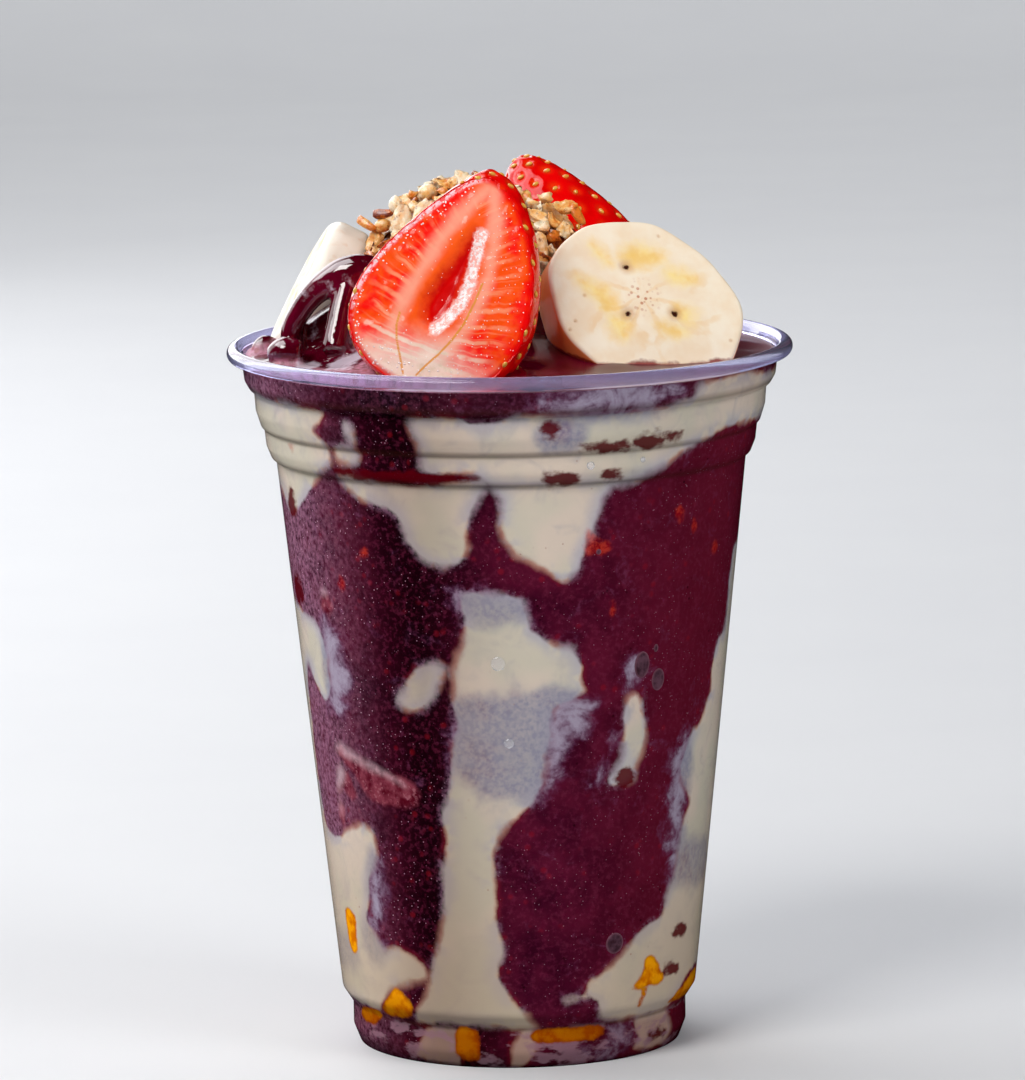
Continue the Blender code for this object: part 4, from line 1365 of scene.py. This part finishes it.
def scatter(name, form, level, items, finish, slot, *replaced):
    """Joins one piece for each (place, normal, half-length, tilt, spin, tone) into a mesh."""
    ball, ball_faces = unit_ball(level)
    spots, faces, tones = [], [], []
    for index, (place, normal, size, tilt, spin, tone) in enumerate(items):
        wobble = bumps(ball, 0.55, offset=3.7 * index)
        shape = form(ball, wobble) * size @ turned_to(normal, tilt, spin).T + np.array(place)
        faces.append(ball_faces + index * len(ball))
        spots.append(shape)
        tones.append(np.full(len(ball), tone))
    mesh = bpy.data.meshes.new(name)
    mesh.from_pydata((np.concatenate(spots) * MM).tolist(), [], np.concatenate(faces).tolist())
    mesh.shade_smooth()
    paint(mesh, tone=np.concatenate(tones))
    add_piece(name, mesh, finish, slot, *replaced)


def larger_pieces():
    """Where the larger pieces lie on the front of the granola's heap."""
    heap = search_tree(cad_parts["granola"].data)
    items = []
    for form, across, height, size, turn, tone in LARGER_PIECES:
        middle = Vector((across, 2.0, height))
        place, normal, _, _ = heap.ray_cast(middle - FRONT_VIEW * 60.0, FRONT_VIEW)
        if place is None:   # it stands out past the heap's outline
            place, normal, _, gap = heap.find_nearest(middle)
            place = place.lerp(middle, min(1.0, 1.4 * size / gap))
        outward = (normal * 0.5 - FRONT_VIEW).normalized()
        items.append((form, (np.array(place), np.array(outward), size, 0.0, math.radians(turn), tone)))
    return items


def heap_spots(count, gap, random, taken):
    """Random places on the upper side of the granola's heap, clear of the other toppings and pieces."""
    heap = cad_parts["granola"].data
    trees = [search_tree(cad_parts[node].data) for node in TOPPINGS]
    heap.calc_loop_triangles()
    corners = places(heap)[np.array([tuple(triangle.vertices) for triangle in heap.loop_triangles])]
    normals = np.cross(corners[:, 1] - corners[:, 0], corners[:, 2] - corners[:, 0])
    areas = np.linalg.norm(normals, axis=1)
    normals /= np.maximum(areas, 1e-9)[:, None]
    chance = areas * (normals[:, 2] > -0.1)
    found = []
    for pick in random.choice(len(areas), size=count * 12, p=chance / chance.sum()):
        place = random.dirichlet((1.0, 1.0, 1.0)) @ corners[pick]
        clear = all(tree.find_nearest(place)[3] > TOPPING_CLEARANCE for tree in trees)
        clear = clear and all(np.linalg.norm(place - other) > 1.4 + 0.4 * gap for other in taken)
        if clear and all(np.linalg.norm(place - other) > gap for other, _ in found):
            found.append((place, normals[pick]))
        if len(found) == count:
            break
    return found


def granola_finish(name, gloss):
    finish = Finish(name, Roughness=0.42, IOR=1.45, Coat_Weight=gloss, Coat_Roughness=0.12)
    tone = finish.swayed(finish.attribute("tone"), (finish.noise(1.4, detail=3.0, rough=0.65), 1.9))
    colour = finish.blend(finish.fade(tone, -0.1, 0.7), shown(255, 240, 208), shown(253, 192, 108))
    colour = finish.coat(colour, finish.fade(tone, 0.55, 1.1), (228, 124, 36))
    colour = finish.coat(colour, finish.fade(tone, 1.15, 1.7), (120, 44, 16))
    pit = finish.fade(finish.noise(1.0, detail=3.0, rough=0.7), 0.56, 0.72, 0.7)
    finish.set(Base_Color=finish.coat(colour, pit, (120, 46, 14)))
    finish.bump(finish.noise(0.6, detail=3.0, rough=0.65), 0.24)
    return finish


def build_granola():
    random = np.random.default_rng(SEED)
    finer = {"levels": 2, "subdivision_type": "SIMPLE"}
    core = applied(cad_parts["granola"].data.copy(), ("SUBSURF", finer))
    core.materials.clear()
    spots = places(core)
    relief = -GRANOLA_SKIN + 0.8 * bumps(spots, 1.8) + 0.4 * bumps(spots, 0.8)
    move_to(core, spots + vertex_normals(core) * relief[:, None])
    core.shade_smooth()
    # Painted shade: the core, seen in the gaps between pieces, is coloured darkest brown
    paint(core, tone=np.full(len(spots), 1.6))
    finishes = {
        "baked": granola_finish("granola_baked", 0.45),
        "nutty": granola_finish("granola_nuts", 0.6),
    }
    add_piece("granola_core", core, finishes["baked"], "granola", "granola")

    larger = larger_pieces()
    taken = [item[0] for _, item in larger]

    for name, form, level, count, gap, size, depth, tilt, tone, kind_of_finish in LOOSE_PIECES:
        items = [item for kind, item in larger if kind is form]
        for place, normal in heap_spots(count, gap, random, taken):
            spin, lean = random.uniform(0.0, 2.0 * math.pi), random.normal(0.0, tilt)
            grown = size * random.uniform(0.7, 1.3)
            shade = float(np.clip(random.normal(tone, TONE_SPREAD), 0.0, 1.5))
            items.append((place - normal * depth, normal, grown, lean, spin, shade))
        scatter(name, form, level, items, finishes[kind_of_finish], "granola", "granola")


# ---- Stage, lights and camera ----

SWEEP_FRONT = -3200.0
SWEEP_BACK = 1700.0           # where the floor begins to curve up
SWEEP_CURVE = 900.0
SWEEP_STEPS = 16
SWEEP_TOP = 2800.0
SWEEP_HALF_WIDTH = 3200.0


def build_stage():
    """A seamless sweep: floor, curve and backdrop in one sheet."""
    pale = Finish("stage_paper", Roughness=0.7)
    grain = pale.noise(60.0, detail=2.0)
    pale.set(Base_Color=pale.blend(grain, shown(214, 215, 218), shown(219, 220, 222)))
    profile = [(SWEEP_FRONT, 0.0), (SWEEP_BACK, 0.0)]
    for step in range(1, SWEEP_STEPS + 1):
        angle = math.radians(90.0 * step / SWEEP_STEPS)
        y, z = SWEEP_BACK + SWEEP_CURVE * math.sin(angle), SWEEP_CURVE * (1.0 - math.cos(angle))
        profile.append((y, z))
    profile.append((SWEEP_BACK + SWEEP_CURVE, SWEEP_TOP))
    points = []
    for y, z in profile:
        points.append((-SWEEP_HALF_WIDTH * MM, y * MM, z * MM))
        points.append((SWEEP_HALF_WIDTH * MM, y * MM, z * MM))
    faces = [(2 * i, 2 * i + 1, 2 * i + 3, 2 * i + 2) for i in range(len(profile) - 1)]
    mesh = bpy.data.meshes.new("sweep")
    mesh.from_pydata(points, [], faces)
    mesh.shade_smooth()
    sweep = add_object("sweep", mesh)
    mesh.materials.append(pale.material)
    sweep.visible_glossy = False   # wet surfaces mirror the dim room instead, which keeps them deep


# Softboxes in metres: (name, place, what it is aimed at, width, height, watts, colour, rays that miss it)
MIDDLE = (0.0, 0.0, 0.1)
SOFTBOXES = (
    ("key", (-0.52, -0.7, 0.92), MIDDLE, 0.5, 0.5, 8.8, (1.0, 0.98, 0.95), None),
    ("rim_left", (-0.7, 0.5, 0.58), MIDDLE, 1.2, 1.0, 8.0, (0.97, 0.98, 1.0), None),
    ("fill", (0.92, -0.62, 0.5), MIDDLE, 0.5, 0.7, 5.6, (1.0, 1.0, 1.0), "visible_glossy"),
    # seen only in wet surfaces
    ("back_left", (-0.42, 0.85, 0.5), MIDDLE, 0.9, 0.8, 6.0, (0.98, 0.98, 1.0), "visible_diffuse"),
    ("above_left", (-0.5, -0.05, 0.9), MIDDLE, 0.7, 0.7, 9.0, (0.98, 0.98, 1.0), "visible_diffuse"),
    # over the cup, to light the backdrop
    ("backdrop", (0.0, 1.1, 1.9), (0.0, 2.4, 0.8), 1.6, 0.4, 26.0, (1.0, 1.0, 1.0), "visible_glossy"),
)


def build_lights():
    for name, place, target, width, height, watts, colour, missed in SOFTBOXES:
        light = bpy.data.lights.new(name, "AREA")
        light.shape = "RECTANGLE"
        light.size = width
        light.size_y = height
        light.energy = watts
        light.color = colour
        item = add_object(name, light)
        item.location = place
        item.rotation_euler = (Vector(target) - item.location).to_track_quat("-Z", "Y").to_euler()
        item.visible_camera = False
        if missed:
            setattr(item, missed, False)
    world = bpy.data.worlds.new("studio")
    world.use_nodes = True
    background = world.node_tree.nodes["Background"]
    background.inputs["Color"].default_value = (0.52, 0.55, 0.6, 1.0)
    background.inputs["Strength"].default_value = 0.28
    world.cycles_visibility.glossy = False
    bpy.context.scene.world = world


CAMERA_PLACE = (0.0, -1.34, 0.297)   # in metres
CAMERA_PITCH = -8.885
CAMERA_ROLL = -0.87
CAMERA_LENS = 260.1


def limit_bounces():
    """Light need not wander long between the cup, what fills it and the paper."""
    cycles = bpy.context.scene.cycles
    cycles.max_bounces = 6
    cycles.diffuse_bounces = 2
    cycles.glossy_bounces = 2
    cycles.transmission_bounces = 5
    cycles.caustics_reflective = False


def build_camera():
    camera = bpy.data.cameras.new("camera")
    camera.lens = CAMERA_LENS
    item = add_object("camera", camera)
    turn = Matrix.Rotation(math.radians(90.0 + CAMERA_PITCH), 4, "X")
    roll = Matrix.Rotation(math.radians(CAMERA_ROLL), 4, "Z")
    item.matrix_world = Matrix.Translation(CAMERA_PLACE) @ turn @ roll
    bpy.context.scene.camera = item
    bpy.context.scene.view_settings.view_transform = "Standard"


build_camera()
limit_bounces()
build_stage()
build_lights()
build_cup()
build_acai_wall()
build_bubbles_and_drops()
build_acai_top()
front_berry = build_berry(
    "strawberry_front_slice", FRONT_BERRY, FRONT_BERRY_CUT, FRONT_BERRY_PLACE, "strawberry_front")
scatter_sparkles(*front_berry)
build_berry("strawberry_back_slice", BACK_BERRY, BACK_BERRY_CUT, BACK_BERRY_PLACE, "strawberry_back")
build_banana("banana_right_slice", RIGHT_BANANA, RIGHT_BANANA_PLACE, "banana_right")
build_banana("banana_left_slice", LEFT_BANANA, LEFT_BANANA_PLACE, "banana_left")
build_granola()
